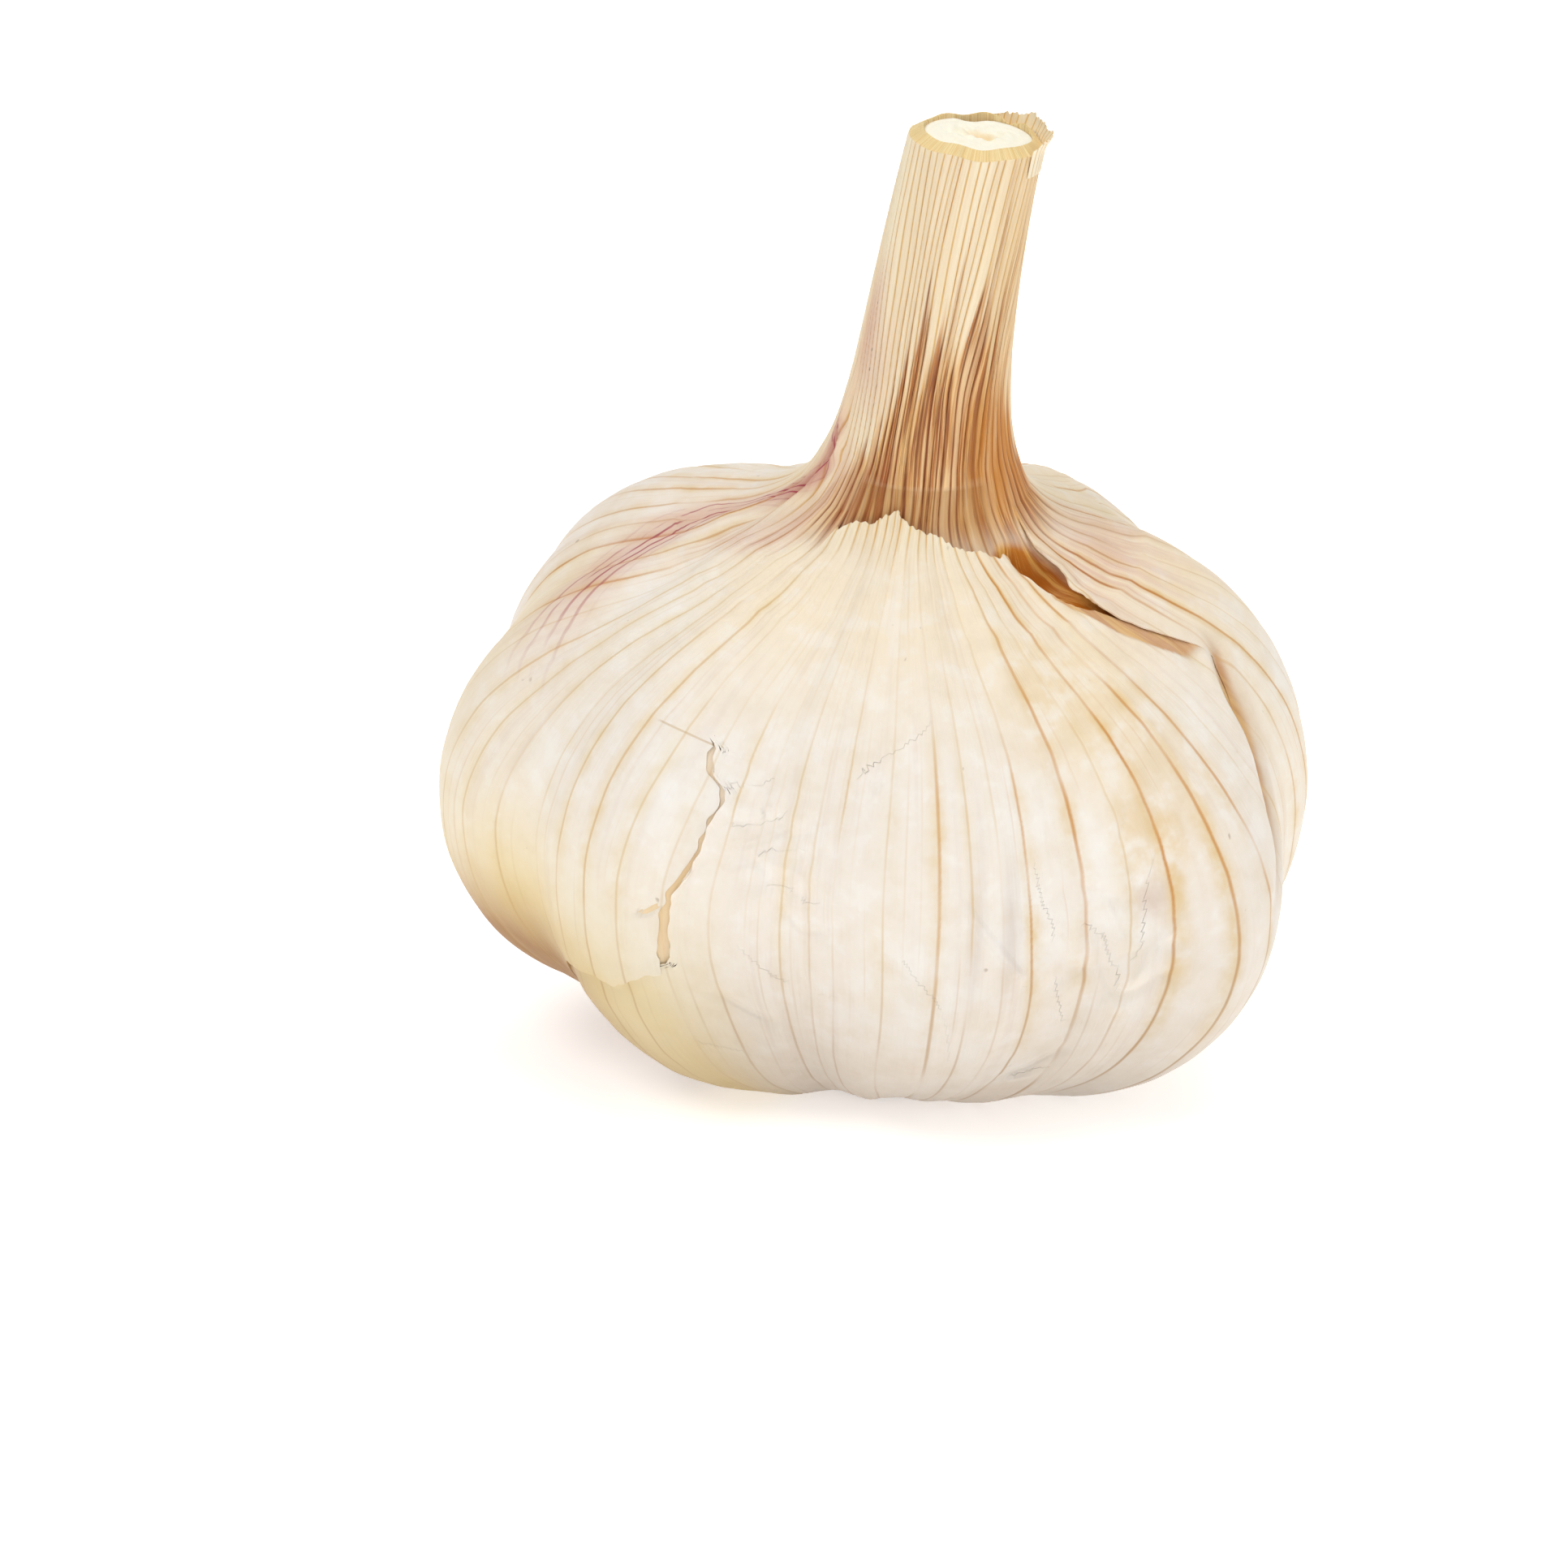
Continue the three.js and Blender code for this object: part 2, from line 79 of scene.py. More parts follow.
# The skin is drawn tight over the feet and hangs more loosely over the shoulders.
DRAPE_AT_FEET, DRAPE_AT_SHOULDERS = 1.7, 2.8
DRAPE_FROM, DRAPE_TO = 2.0, 36.0

# The neck leans and bends through three points: x, y, z and radius.
NECK = ((2.2, 1.5, 30, 4.3), (2.6, -0.6, 46, 5.4), (6.3, 0.1, 69.8, 4.6))
NECK_BASE_Z, NECK_TOP_Z = NECK[0][2], NECK[2][2]
NECK_FLARE = 4.0
CUT_SLOPE = 0.1

# Rays that meet the skin fan out from FAN_Z over the body, and then climb the neck's axis. The
# skin's slope is measured over NUDGE millimetres.
FAN_Z, FAN_TOP, BODY_CLIMB = 19.0, 50.0, 0.62
LONGEST_RAY, RAY_HALVINGS, NUDGE = 45.0, 20, 0.05


def smoothstep(x, low, high):
    t = np.clip((x - low) / (high - low), 0.0, 1.0)
    return t * t * (3.0 - 2.0 * t)


def fade(x, low, high):
    """1 below low, falling smoothly to 0 above high."""
    return 1.0 - smoothstep(x, low, high)


def window(x, low, full, ebb, high):
    """0 below low and above high, and 1 from full to ebb."""
    return smoothstep(x, low, full) * fade(x, ebb, high)


def bump(x, middle, half_width):
    """1 at the middle, falling smoothly to 0 at half_width from it."""
    return fade(np.abs(x - middle), 0.0, half_width)


def spots(turn, climb, rows):
    """The sum of soft spots, each (strength, turn, half width, climb, half height)."""
    return sum(
        size * bump(turn, middle, half_width) * bump(climb, centre, half_height)
        for size, middle, half_width, centre, half_height in rows
    )


def along(points, x):
    """The value at x of a line through (x, value) points."""
    places, values = zip(*points)
    return np.interp(x, places, values)


def smooth_union(distances, softness):
    nearest = np.min(distances, axis=0)
    return nearest - softness * np.log(sum(np.exp((nearest - d) / softness) for d in distances))


def distance_to_clove(clove, x, y, z):
    turn, reach, half_width, foot, shoulder, half_depth = clove
    angle = math.radians(turn)
    half_height = (shoulder - foot) / 2
    a = (x * math.cos(angle) + y * math.sin(angle) - (reach - half_depth)) / half_depth
    b = (y * math.cos(angle) - x * math.sin(angle)) / half_width
    c = (z - (shoulder + foot) / 2) / half_height
    size = np.sqrt(a * a + b * b + c * c)
    slope = np.sqrt((a / half_depth) ** 2 + (b / half_width) ** 2 + (c / half_height) ** 2) / size
    return (size - 1) / slope


def distance_to_core(x, y, z):
    half_height = (CORE_TOP - CORE_BOTTOM) / 2
    upward = (z - (CORE_TOP + CORE_BOTTOM) / 2) / half_height
    size = np.sqrt((x * x + y * y) / CORE_RADIUS**2 + upward**2)
    return (size - 1) * min(CORE_RADIUS, half_height)


def neck_centre(z):
    """The neck's centre at height z, on the parabola through its three points."""
    x, y = 0.0, 0.0
    for i, point in enumerate(NECK):
        p, q = [other[2] for j, other in enumerate(NECK) if j != i]
        weight = (z - p) * (z - q) / ((point[2] - p) * (point[2] - q))
        x = x + weight * point[0]
        y = y + weight * point[1]
    return x, y


def neck_radius(z):
    return along([(point[2], point[3]) for point in NECK], z)


def distance_to_form(point):
    """About how far points are outside the bulb, in millimetres."""
    x, y, z = point
    loose = smoothstep(z, DRAPE_FROM, DRAPE_TO)
    drape = DRAPE_AT_FEET + (DRAPE_AT_SHOULDERS - DRAPE_AT_FEET) * loose
    cloves = [distance_to_clove(clove, x, y, z) for clove in CLOVES]
    body = smooth_union([*cloves, distance_to_core(x, y, z)], drape)
    on_neck = np.maximum(z, NECK_BASE_Z)
    centre_x, centre_y = neck_centre(on_neck)
    away = np.sqrt((x - centre_x) ** 2 + (y - centre_y) ** 2 + (z - on_neck) ** 2)
    return smooth_union([body, away - neck_radius(on_neck)], NECK_FLARE)


def ray_starts(climb):
    """Where the rays start, with the shares of the way over the body and up the neck."""
    over_body = np.clip(climb / BODY_CLIMB, 0.0, 1.0)
    up_neck = np.clip((climb - BODY_CLIMB) / (1 - BODY_CLIMB), 0.0, 1.0)
    z = FAN_Z + (NECK_TOP_Z - FAN_Z) * up_neck
    x, y = neck_centre(np.maximum(z, NECK_BASE_Z))
    return np.array([x * over_body, y * over_body, z]), over_body, up_neck


def lie_on_form(turn, climb):
    """The points of the smooth form at turns and climbs, and their outward normals."""
    start, over_body, up_neck = ray_starts(climb)
    pitch = np.where(up_neck > 0, FAN_TOP * (1 - up_neck), -90 + (90 + FAN_TOP) * over_body)
    pitch, angle = np.radians(pitch), np.radians(turn)
    level = np.cos(pitch)
    ray = np.array([np.cos(angle) * level, np.sin(angle) * level, np.sin(pitch)])
    near, far = np.zeros_like(turn), np.full_like(turn, LONGEST_RAY)
    for _ in range(RAY_HALVINGS):
        middle = (near + far) / 2
        inside = distance_to_form(start + ray * middle) < 0
        near = np.where(inside, middle, near)
        far = np.where(inside, far, middle)
    point = start + ray * (near + far) / 2
    nudges = np.eye(3)[:, :, None] * NUDGE
    normal = np.array([distance_to_form(point + nudge) for nudge in nudges])
    normal = normal - distance_to_form(point)
    normal /= np.linalg.norm(normal, axis=0)
    point[2] -= CUT_SLOPE * (point[0] - start[0]) * up_neck
    return point, normal


# ---- veins, ribs and wrinkles -------------------------------------------------------------------

# The veins of the front, as (turn at the waist, strength); those of the back follow by rule.
FRONT_VEINS = (
    (192.5, 0.5), (198, 0.55), (204, 0.4), (209.3, 0.6), (215.5, 0.65), (222.5, 0.5),
    (229.5, 0.3), (236, 0.55), (241.5, 0.2), (247.8, 0.5), (253, 0.35), (257.5, 0.6),
    (266, 0.45), (274.5, 0.75), (280, 0.55), (285.5, 0.3), (291, 0.85), (301, 0.95),
    (307.5, 0.5), (313.5, 1), (322.8, 0.9), (329.8, 0.85), (336, 0.35), (342, 0.6),
    (348, 0.35), (354, 0.7),
)
BACK_VEINS = 31
VEIN_COUNT = len(FRONT_VEINS) + BACK_VEINS
HAIR_COUNT = 154

# The veins draw together towards this turn as they climb, by (climb, degrees). Where a vein was
# at the waist is found in so many rounds.
FAN_MIDDLE, FAN_ROUNDS = 265.0, 7
VEIN_SPREAD = (
    (0.36, 0), (0.42, 1.5), (0.48, 4.4), (0.53, 7.5), (0.565, 11), (0.61, 17),
    (0.66, 20.5), (0.7, 22.5), (0.74, 24), (0.81, 24), (0.86, 19), (0.9, 11),
    (0.95, 2), (1, -6),
)


def make_waves(seed, count, per_turn, per_climb):
    """A smooth random field over turn and climb, about -1 to 1, that closes round the axis."""
    random = np.random.default_rng(seed)
    rounds = random.integers(-per_turn, per_turn + 1, count)
    rises = random.uniform(-per_climb, per_climb, count) * 2 * math.pi
    phases = random.uniform(0, 2 * math.pi, count)

    def waves(turn, climb):
        angle = np.radians(turn)
        total = sum(np.sin(r * angle + c * climb + p) for r, c, p in zip(rounds, rises, phases))
        return total / math.sqrt(count / 2)

    return waves


def back_veins():
    """Veins that fill the turn from the last of the front to the first, with seeded jitter."""
    random = np.random.default_rng(12)
    first, last = FRONT_VEINS[-1][0], FRONT_VEINS[0][0] + 360
    step = (last - first) / (BACK_VEINS + 1)
    return [
        (first + step * (i + 1 + random.uniform(-0.22, 0.22)), random.uniform(0.3, 0.85))
        for i in range(BACK_VEINS)
    ]


WAIST_VEINS = [*FRONT_VEINS, *back_veins()]
VEIN_TURNS = [turn + 360 * lap for lap in (-1, 0, 1) for turn, _ in WAIST_VEINS]
VEIN_STRENGTHS = [strength for _ in range(3) for _, strength in WAIST_VEINS]
VEIN_NUMBERS = np.arange(len(VEIN_TURNS)) - VEIN_COUNT

vein_wander = make_waves(7, 26, 14, 5)
neck_wander = make_waves(8, 30, 9, 9)
facet_waves = make_waves(21, 30, 22, 2.5)
crinkle_waves = make_waves(33, 40, 60, 30)
crumple_waves = make_waves(45, 36, 46, 26)

# For each vein, the share of two slow waves in the flat faces beside it.
FACETS = np.tile(np.random.default_rng(4).uniform(-1, 1, (2, VEIN_COUNT)), 3)


def wrap(turn):
    """The same turn from 90 to 450, so that the count starts afresh at the back."""
    return (turn - 90) % 360 + 90


def vein_place(turn, climb):
    """The number of the vein at a place, with the fractions between veins, and its strength."""
    spread = along(VEIN_SPREAD, climb)
    at_waist = turn
    for _ in range(FAN_ROUNDS):
        at_waist = turn + spread * np.sin(np.radians(at_waist - FAN_MIDDLE))
    on_neck = smoothstep(climb, 0.72, 0.8)
    at_waist = at_waist + 0.45 * vein_wander(turn, climb) * (1 - on_neck)
    at_waist = at_waist + 1.6 * neck_wander(turn, climb) * on_neck
    number = np.interp(at_waist, VEIN_TURNS, VEIN_NUMBERS)
    strength = np.interp(at_waist, VEIN_TURNS, VEIN_STRENGTHS)
    faded = smoothstep(climb, 0.5, 0.62) * window(wrap(turn), 228, 240, 276, 298)
    return number, strength * (1 - 0.7 * faded)


# Creases of the paper: half width and height in millimetres, then (turn, climb) along the crease.
CREASES = (
    (0.28, 0.2, ((275.5, 0.45), (279.5, 0.425), (282.8, 0.406), (287.3, 0.379), (289, 0.37))),
    (0.3, 0.07, ((287.5, 0.375), (290, 0.33), (291.5, 0.287))),
    (0.55, -0.22, ((292.5, 0.25), (296.3, 0.262), (301, 0.284))),
    (0.5, 0.16, ((295, 0.245), (298, 0.252))),
    (0.7, 0.16, ((301.5, 0.43), (304.3, 0.401), (306.5, 0.38))),
    (0.5, 0.12, ((300.5, 0.382), (303, 0.356), (306.3, 0.333))),
    (0.7, 0.17, ((313.2, 0.398), (310, 0.375), (307.8, 0.35))),
    (0.6, 0.1, ((318.5, 0.405), (314, 0.393), (311.5, 0.38))),
    (1, -0.2, ((238.5, 0.455), (244.8, 0.468), (250.5, 0.485))),
    (0.8, 0.14, ((241, 0.487), (246, 0.492))),
    (0.8, 0.12, ((246, 0.452), (252, 0.445))),
    (0.45, 0.15, ((234.2, 0.52), (236.8, 0.52), (240.5, 0.519))),
    (0.75, -0.2, ((235.5, 0.328), (240, 0.314), (244.5, 0.302))),
    (0.8, 0.12, ((256, 0.53), (259, 0.545), (263, 0.552))),
    (0.9, 0.12, ((262, 0.5), (266.5, 0.518), (272, 0.512))),
    (0.9, -0.12, ((248, 0.42), (252, 0.4), (257, 0.405))),
)
LEFT_SHEET_CREASES = ((0.3, -0.22, ((225.6, 0.399), (226.6, 0.3995), (228, 0.404))),)
SHEET_CREASES = {"front": CREASES, "left": LEFT_SHEET_CREASES}

# The torn top of the slot, as (turn, climb).
TORN_TOP = ((233.8, 0.523), (228, 0.5255), (222.8, 0.527))

# The radius and the rise, in millimetres, that make turns and climbs into lengths over the skin.
OVER_BODY, OVER_SHOULDER, FOLD_RADIUS = (23.0, 87.0), (15.0, 100.0), 7.5

# The fold at the left of the neck's foot, as (climb, turn).
LEFT_FOLD = (
    (0.66, 187), (0.72, 192), (0.747, 196), (0.77, 196.5), (0.79, 199), (0.81, 206),
    (0.83, 196), (0.86, 188),
)

# The groove that runs down from the end of the tear, as (climb, turn).
GROOVE = ((0.38, 333), (0.455, 339), (0.5, 342), (0.54, 344.5))

# The band of fine purple lines over the left shoulder, as (turn, climb) along it.
PURPLE_BAND = (
    (188, 0.86), (191, 0.825), (201, 0.812), (204, 0.8), (200, 0.788), (188, 0.762),
    (178, 0.735), (175, 0.69), (176, 0.62), (180, 0.587), (184.5, 0.56), (190, 0.537),
    (195.5, 0.503), (197, 0.47),
)

# How high the ribs of the neck stand, as (climb, millimetres).
RIB_HEIGHTS = ((0.66, 0), (0.72, 0.08), (0.77, 0.22), (0.84, 0.28), (0.92, 0.22), (1, 0.18))


def signed_distance(turn, climb, path, scale):
    """The distance to a (turn, climb) path in millimetres, with its side as the sign, and the share
    of the way along the path."""
    radius, rise = scale
    x, y = np.radians(turn) * radius, climb * rise
    points = [(math.radians(t) * radius, c * rise) for t, c in path]
    nearest, side, reached = np.full_like(x, 1e9), np.ones_like(x), np.zeros_like(x)
    for i, ((ax, ay), (bx, by)) in enumerate(zip(points, points[1:])):
        share = ((x - ax) * (bx - ax) + (y - ay) * (by - ay)) / ((bx - ax) ** 2 + (by - ay) ** 2)
        held = np.clip(share, 0, 1)
        away = np.hypot(x - ax - held * (bx - ax), y - ay - held * (by - ay))
        closer = away < nearest
        cross = (bx - ax) * (y - ay) - (by - ay) * (x - ax)
        nearest = np.where(closer, away, nearest)
        side = np.where(closer, np.where(cross < 0, -1, 1), side)
        reached = np.where(closer, (i + share) / (len(points) - 1), reached)
    return nearest * side, reached


def distance_to_path(turn, climb, path, scale):
    return np.abs(signed_distance(turn, climb, path, scale)[0])


def line_values(turn, climb, kind):
    """Where the nearest crease, the torn top of the slot and the purple band run, as signed
    distances, and how strong each is here."""
    turn = wrap(turn)
    crease, height = np.full_like(turn, 5.0), np.zeros_like(turn)
    for _, rise, path in SHEET_CREASES.get(kind, ()):
        away, reached = signed_distance(turn, climb, path, OVER_BODY)
        closer = np.abs(away) < np.abs(crease)
        crease = np.where(closer, away, crease)
        height = np.where(closer, rise * window(reached, 0.0, 0.25, 0.75, 1.0), height)
    band, reached = signed_distance(turn, climb, PURPLE_BAND, OVER_SHOULDER)
    return {
        "crease_distance": crease,
        "crease_height": height,
        "torn": signed_distance(turn, climb, TORN_TOP, OVER_BODY)[0],
        "torn_here": smoothstep(turn, 222.3, 223.5) * (kind == "left"),
        "band": band,
        "band_here": window(reached, 0.0, 0.1, 0.7, 0.96),
    }


def rib_relief(number, climb):
    """The rounded ribs of the neck, and the faint welts of the veins over the body."""
    from_vein = np.abs((number + 0.5) % 1.0 - 0.5)
    ribs = np.sin(math.pi * from_vein) ** 0.6 - 0.7
    uneven = 0.72 + 0.28 * np.sin(np.round(number) * 22 * 2 * math.pi / VEIN_COUNT)
    welts = 0.05 * fade(climb, 0.68, 0.8) * np.exp(-((from_vein / 0.09) ** 2))
    return along(RIB_HEIGHTS, climb) * ribs * uneven - welts


def facet_relief(number, climb):
    """Flat faces between the veins, where the dry skin is drawn tight."""
    first, second = [np.interp(number, VEIN_NUMBERS, facets) for facets in FACETS]
    return first * np.cos(climb * 7) + second * np.sin(climb * 7)


def crease_relief(turn, climb, creases, softness=0.0):
    """What creases stand above or below the skin, in millimetres."""
    return sum(
        rise * fade(distance_to_path(turn, climb, path, OVER_BODY), 0, half_width + softness)
        for half_width, rise, path in creases
    )


def groove_middle(climb):
    """The turn of the groove, which wavers as it climbs."""
    return along(GROOVE, climb) + 0.5 * np.sin(climb * 95)


def relief(turn, climb, number):
    """What the skin stands above or below the smooth form, in millimetres."""
    turn = wrap(turn)
    height = 0.13 * facet_waves(turn, climb) + 0.018 * crinkle_waves(turn, climb)
    height = height + 0.16 * facet_relief(number, climb) * smoothstep(climb, 0.1, 0.2)
    height = height * fade(climb, 0.7, 0.8)
    crumpled = spots(turn, climb, ((1, 306, 22, 0.42, 0.13), (1, 245, 16, 0.47, 0.09)))
    height = height + 0.24 * crumpled * (np.abs(crumple_waves(turn, climb)) - 0.4)
    height = height + 0.8 * crease_relief(turn, climb, CREASES, 0.35)
    middle = groove_middle(climb)
    groove = bump(turn, middle, 3.8) - 0.3 * bump(turn, middle - 4.4, 3.0)
    height = height - 0.6 * groove * window(climb, 0.36, 0.44, 0.53, 0.56)
    fold = (turn - along(LEFT_FOLD, climb)) * np.radians(FOLD_RADIUS)
    crest_and_dip = 0.45 * bump(fold, 0.5, 0.7) - 0.35 * bump(fold, -0.35, 0.5)
    height = height + window(climb, 0.7, 0.76, 0.83, 0.87) * crest_and_dip
    return height + rib_relief(number, climb)


# ---- where the skins lie ------------------------------------------------------------------------

# The slot between the front and the left sheet, as (climb, turn) of its middle and
# (climb, half width in millimetres).
CRACK = (
    (0.34, 227.5), (0.355, 228.3), (0.405, 229.5), (0.425, 231.2), (0.445, 233.5), (0.475, 235.2),
    (0.489, 236.7), (0.496, 236.2), (0.504, 233.4), (0.517, 232.6), (0.523, 233.2), (0.53, 231),
    (0.58, 225.8), (0.66, 226), (0.76, 233),
)
CRACK_HALF_WIDTH = (
    (0.34, 0.02), (0.352, 0.1), (0.364, 0.3), (0.378, 0.3), (0.4, 0.25), (0.415, 0.22),
    (0.425, 0.18), (0.445, 0.15), (0.475, 0.1), (0.482, 0.12), (0.489, 0.22), (0.496, 0.2),
    (0.504, 0.22), (0.517, 0.24), (0.523, 0.12), (0.528, -0.02),
)
SLOT_RADIUS = 21.0

# The tear between the front and the right sheet, as (climb, turn) of each one's edge, and its
# path over the skin below them, as (turn, climb).
TEAR_FRONT = (
    (0.1, 330), (0.38, 332), (0.455, 339), (0.5, 342), (0.54, 344.3), (0.57, 339),
    (0.593, 333), (0.608, 327.6), (0.618, 323.8), (0.645, 319), (0.677, 315), (0.695, 312),
    (0.717, 309.5), (0.74, 308.5),
)
TEAR_BACK = (
    (0.1, 330), (0.38, 332), (0.455, 339), (0.5, 342), (0.539, 344.6), (0.555, 341.2),
    (0.571, 336.9), (0.585, 333.3), (0.599, 329.8), (0.62, 325), (0.655, 321.6), (0.668, 319.6),
    (0.676, 319.6), (0.684, 321), (0.7, 321.2), (0.715, 321.8), (0.73, 323.5), (0.745, 326),
    (0.76, 327.5), (0.84, 328),
)
TEAR_PATH = ((311, 0.725), (314, 0.695), (319.5, 0.655), (330.5, 0.596), (344.5, 0.541))

# The splits behind, as (climb, turn), and how far a sheet laps its neighbour there, in degrees and
# in millimetres.
BACK_RIGHT_SEAM = ((0.1, 46), (0.2, 48), (0.45, 43), (0.78, 46), (0.86, 46))
BACK_LEFT_SEAM = ((0.1, 141), (0.2, 139), (0.4, 143), (0.78, 139), (0.86, 139))
OVERLAP, OVERLAP_LIFT = 3.0, 0.16

# How far the bulb's own surface keeps below the outer skin, and above the floor.
SKIN_CLEARANCE = 0.33


def hollow_depth(turn, climb):
    """The pit beside the neck where the right-hand skin has torn away."""
    slit = 0.35 * fade(distance_to_path(turn, climb, TEAR_PATH, OVER_SHOULDER), 0.3, 2.0)
    return slit + spots(turn, climb, ((2.9, 315.5, 15, 0.693, 0.062),))


def sunk_under_skins(turn, climb):
    """How far the inner skin lies under the outer one, which it meets at the foot of the neck."""
    on_front, elsewhere = fade(climb, 0.765, 0.83), fade(climb, 0.74, 0.785)
    covered = elsewhere + (on_front - elsewhere) * window(turn, 232, 244, 312, 326)
    return (SKIN_CLEARANCE - spots(turn, climb, ((0.15, 231, 14, 0.43, 0.16),))) * covered


def dive(climb):
    """How far the tops of the other sheets go down under the skin of the neck."""
    return 0.25 * smoothstep(climb, 0.762, 0.8)


# ---- colour regions -----------------------------------------------------------------------------

# Soft spots of colour, each (strength, turn, half width, climb, half height).
FLUSH_SPOTS = (
    (0.22, 190, 26, 0.74, 0.14), (0.8, 202, 22, 0.89, 0.06), (0.3, 282, 26, 0.83, 0.05),
    (0.45, 222, 26, 0.865, 0.055), (0.8, 197, 14, 0.8, 0.055), (0.28, 174, 34, 0.62, 0.22),
)
STAIN_SPOTS = (
    (1, 308, 6, 0.455, 0.05), (1, 314, 4, 0.45, 0.03), (0.8, 300, 16, 0.57, 0.09),
    (0.6, 316, 16, 0.5, 0.12),
)
BLOTCH_SPOTS = ((1, 309.5, 5, 0.415, 0.025), (1, 241, 26, 0.78, 0.06))
SMUDGE_SPOTS = ((1, 280.5, 2.2, 0.42, 0.1), (1, 286, 2.6, 0.41, 0.09))
CRUMPLE_SPOTS = ((1.3, 306, 30, 0.42, 0.16), (1, 247, 20, 0.47, 0.12))

# The brown of the neck's foot: its left edge as (climb, turn), and its top as (turn, climb).
RUST_LEFT = ((0.74, 206), (0.79, 213), (0.82, 224), (0.85, 230), (0.9, 238))
RUST_TOP = (
    (225, 0.85), (240, 0.895), (262, 0.92), (285, 0.925), (305, 0.92), (330, 0.89), (350, 0.86),
)

# The purple flush that climbs the left of the neck, as (climb, turn) of its middle.
BLUSH = ((0.66, 196), (0.69, 203), (0.72, 210), (0.75, 214), (0.79, 222), (0.83, 212))


def colour_masks(turn, climb, kind):
    """How strong each stain and painted shade is at a place, 0 to 1, for a sheet's name or the bulb's.
    """
    turn = wrap(turn)
    left, top = along(RUST_LEFT, climb), along(RUST_TOP, turn)
    rust = window(turn, left, left + 20, 338, 372) * window(climb, 0.7, 0.755, top - 0.1, top + 0.04)
    rust = rust + 0.16 * window(turn, 280, 305, 345, 370) * smoothstep(climb, 0.8, 0.9)
    rust = rust + 0.5 * bump(turn, 234, 18) * bump(climb, 0.785, 0.05)
    flush = 0.9 * bump(turn, along(BLUSH, climb), 15) * window(climb, 0.66, 0.71, 0.78, 0.84)
    flush = flush + 0.75 * window(turn, 318, 332, 352, 385) * bump(climb, 0.68, 0.15)
    cream = 0.9 * smoothstep(climb, 0.5, 0.66) + 0.5 * window(turn, 330, 350, 380, 400)
    cream = cream * (0.35 + 0.65 * smoothstep(turn, 200, 225))
    cream = cream + 0.25 * window(turn, 150, 175, 200, 216)
    cream = cream + 0.6 * bump(turn, 310, 30) * bump(climb, 0.55, 0.14)
    gold = 2.2 * bump(turn, 208, 36) * fade(climb, 0.27, 0.48)
    if kind == "left":
        gold = gold * (1 - 0.35 * smoothstep(turn, 200, 210))
    gold = gold + 0.5 * bump(turn, 178, 18) * bump(climb, 0.48, 0.18)
    # Painted shade: the underside of the left lobe is painted tan.
    painted_shade_under_left = 1.75 * bump(turn, 186, 36) * fade(climb, 0.29, 0.41)
    by_tear = smoothstep(turn - along(TEAR_BACK, climb), -5.4, -4.8) * smoothstep(climb, 0.546, 0.556)
    by_tear = by_tear * (kind == "front")
    # In the groove the tan and the sheets' lining brown are partly the skin's own colour, partly
    # painted shade.
    middle = groove_middle(climb) + 0.6
    groove = 0.6 * bump(turn, middle, 1.8) + 0.5 * bump(turn, middle, 5.0)
    groove = groove * window(climb, 0.36, 0.45, 0.52, 0.57) + 0.7 * by_tear
    if kind == "bulb":
        away = distance_to_path(turn, climb, TEAR_PATH, OVER_SHOULDER)
        pit = 0.8 * fade(away, 1.0, 3.6) + hollow_depth(turn, climb) / 2.5
        pit = pit + 0.5 * bump(turn, 323, 10) * bump(climb, 0.715, 0.07)
    else:
        pit = 0.4 * bump(turn, middle, 3.2) * window(climb, 0.38, 0.46, 0.53, 0.56) + 0.42 * by_tear
    # A darker, streaky band on the bulb just above the front sheet's top edge, with a paler wavy top.
    band_above_edge_top = 0.797 + 0.0015 * np.sin(np.radians(turn * 5))
    band_above_edge = fade(climb, band_above_edge_top, band_above_edge_top + 0.003) * window(turn, 226, 240, 306, 318)
    masks = {
        "rust": rust * (kind != "front"),
        "aged": window(turn, 275, 320, 350, 425) * smoothstep(climb, 0.74, 0.8),
        "crumple": spots(turn, climb, CRUMPLE_SPOTS) + 0.25,
        "flush": flush + spots(turn, climb, FLUSH_SPOTS),
        "cream": cream,
        "gold": gold,
        "tan": painted_shade_under_left + 0.75 * groove + 0.6 * fade(climb, 0.1, 0.16),
        "stain": spots(turn, climb, STAIN_SPOTS),
        "blotch": spots(turn, climb, BLOTCH_SPOTS),
        "smudge": spots(turn, climb, SMUDGE_SPOTS),
        # Painted shade, darker towards the floor.
        "low": fade(climb, 0.17, 0.46),
        "pit": pit,
        "bare": bump(turn, 231, 16) * bump(climb, 0.43, 0.16) * (kind == "bulb"),
        "band_above_edge": band_above_edge * (kind == "bulb"),
        "cut": 0 * turn,
        "wall": 0 * turn,
    }
    return {name: np.clip(mask, 0, 1) for name, mask in masks.items()}


# ---- modelling helpers --------------------------------------------------------------------------


def select(*chosen):
    """Selects just these objects, and makes the first one active."""
    bpy.ops.object.select_all(action="DESELECT")
    for made in chosen:
        made.select_set(True)
    bpy.context.view_layer.objects.active = chosen[0]


@contextmanager
def editing(made):
    """Edit mode on one object, with all of its mesh selected."""
    select(made)
    bpy.ops.object.mode_set(mode="EDIT")
    bpy.ops.mesh.select_all(action="SELECT")
    yield
    bpy.ops.object.mode_set(mode="OBJECT")


def start_grid(name, columns, rows):
    """A grid of that many cells as a new object, with each vertex's share across and up."""
    bpy.ops.mesh.primitive_grid_add(x_subdivisions=columns, y_subdivisions=rows, size=1)
    made = bpy.context.object
    made.name = name
    made.data.name = name
    flat = np.empty(len(made.data.vertices) * 3)
    made.data.vertices.foreach_get("co", flat)
    across, up, _ = flat.reshape(-1, 3).T + 0.5
    return made, across, up


def set_places(made, point):
    """Lays the mesh's vertices at points in millimetres on the growing axis."""
    placed = (point.T + AXIS) * MM
    made.data.vertices.foreach_set("co", placed.ravel())
    made.data.update()


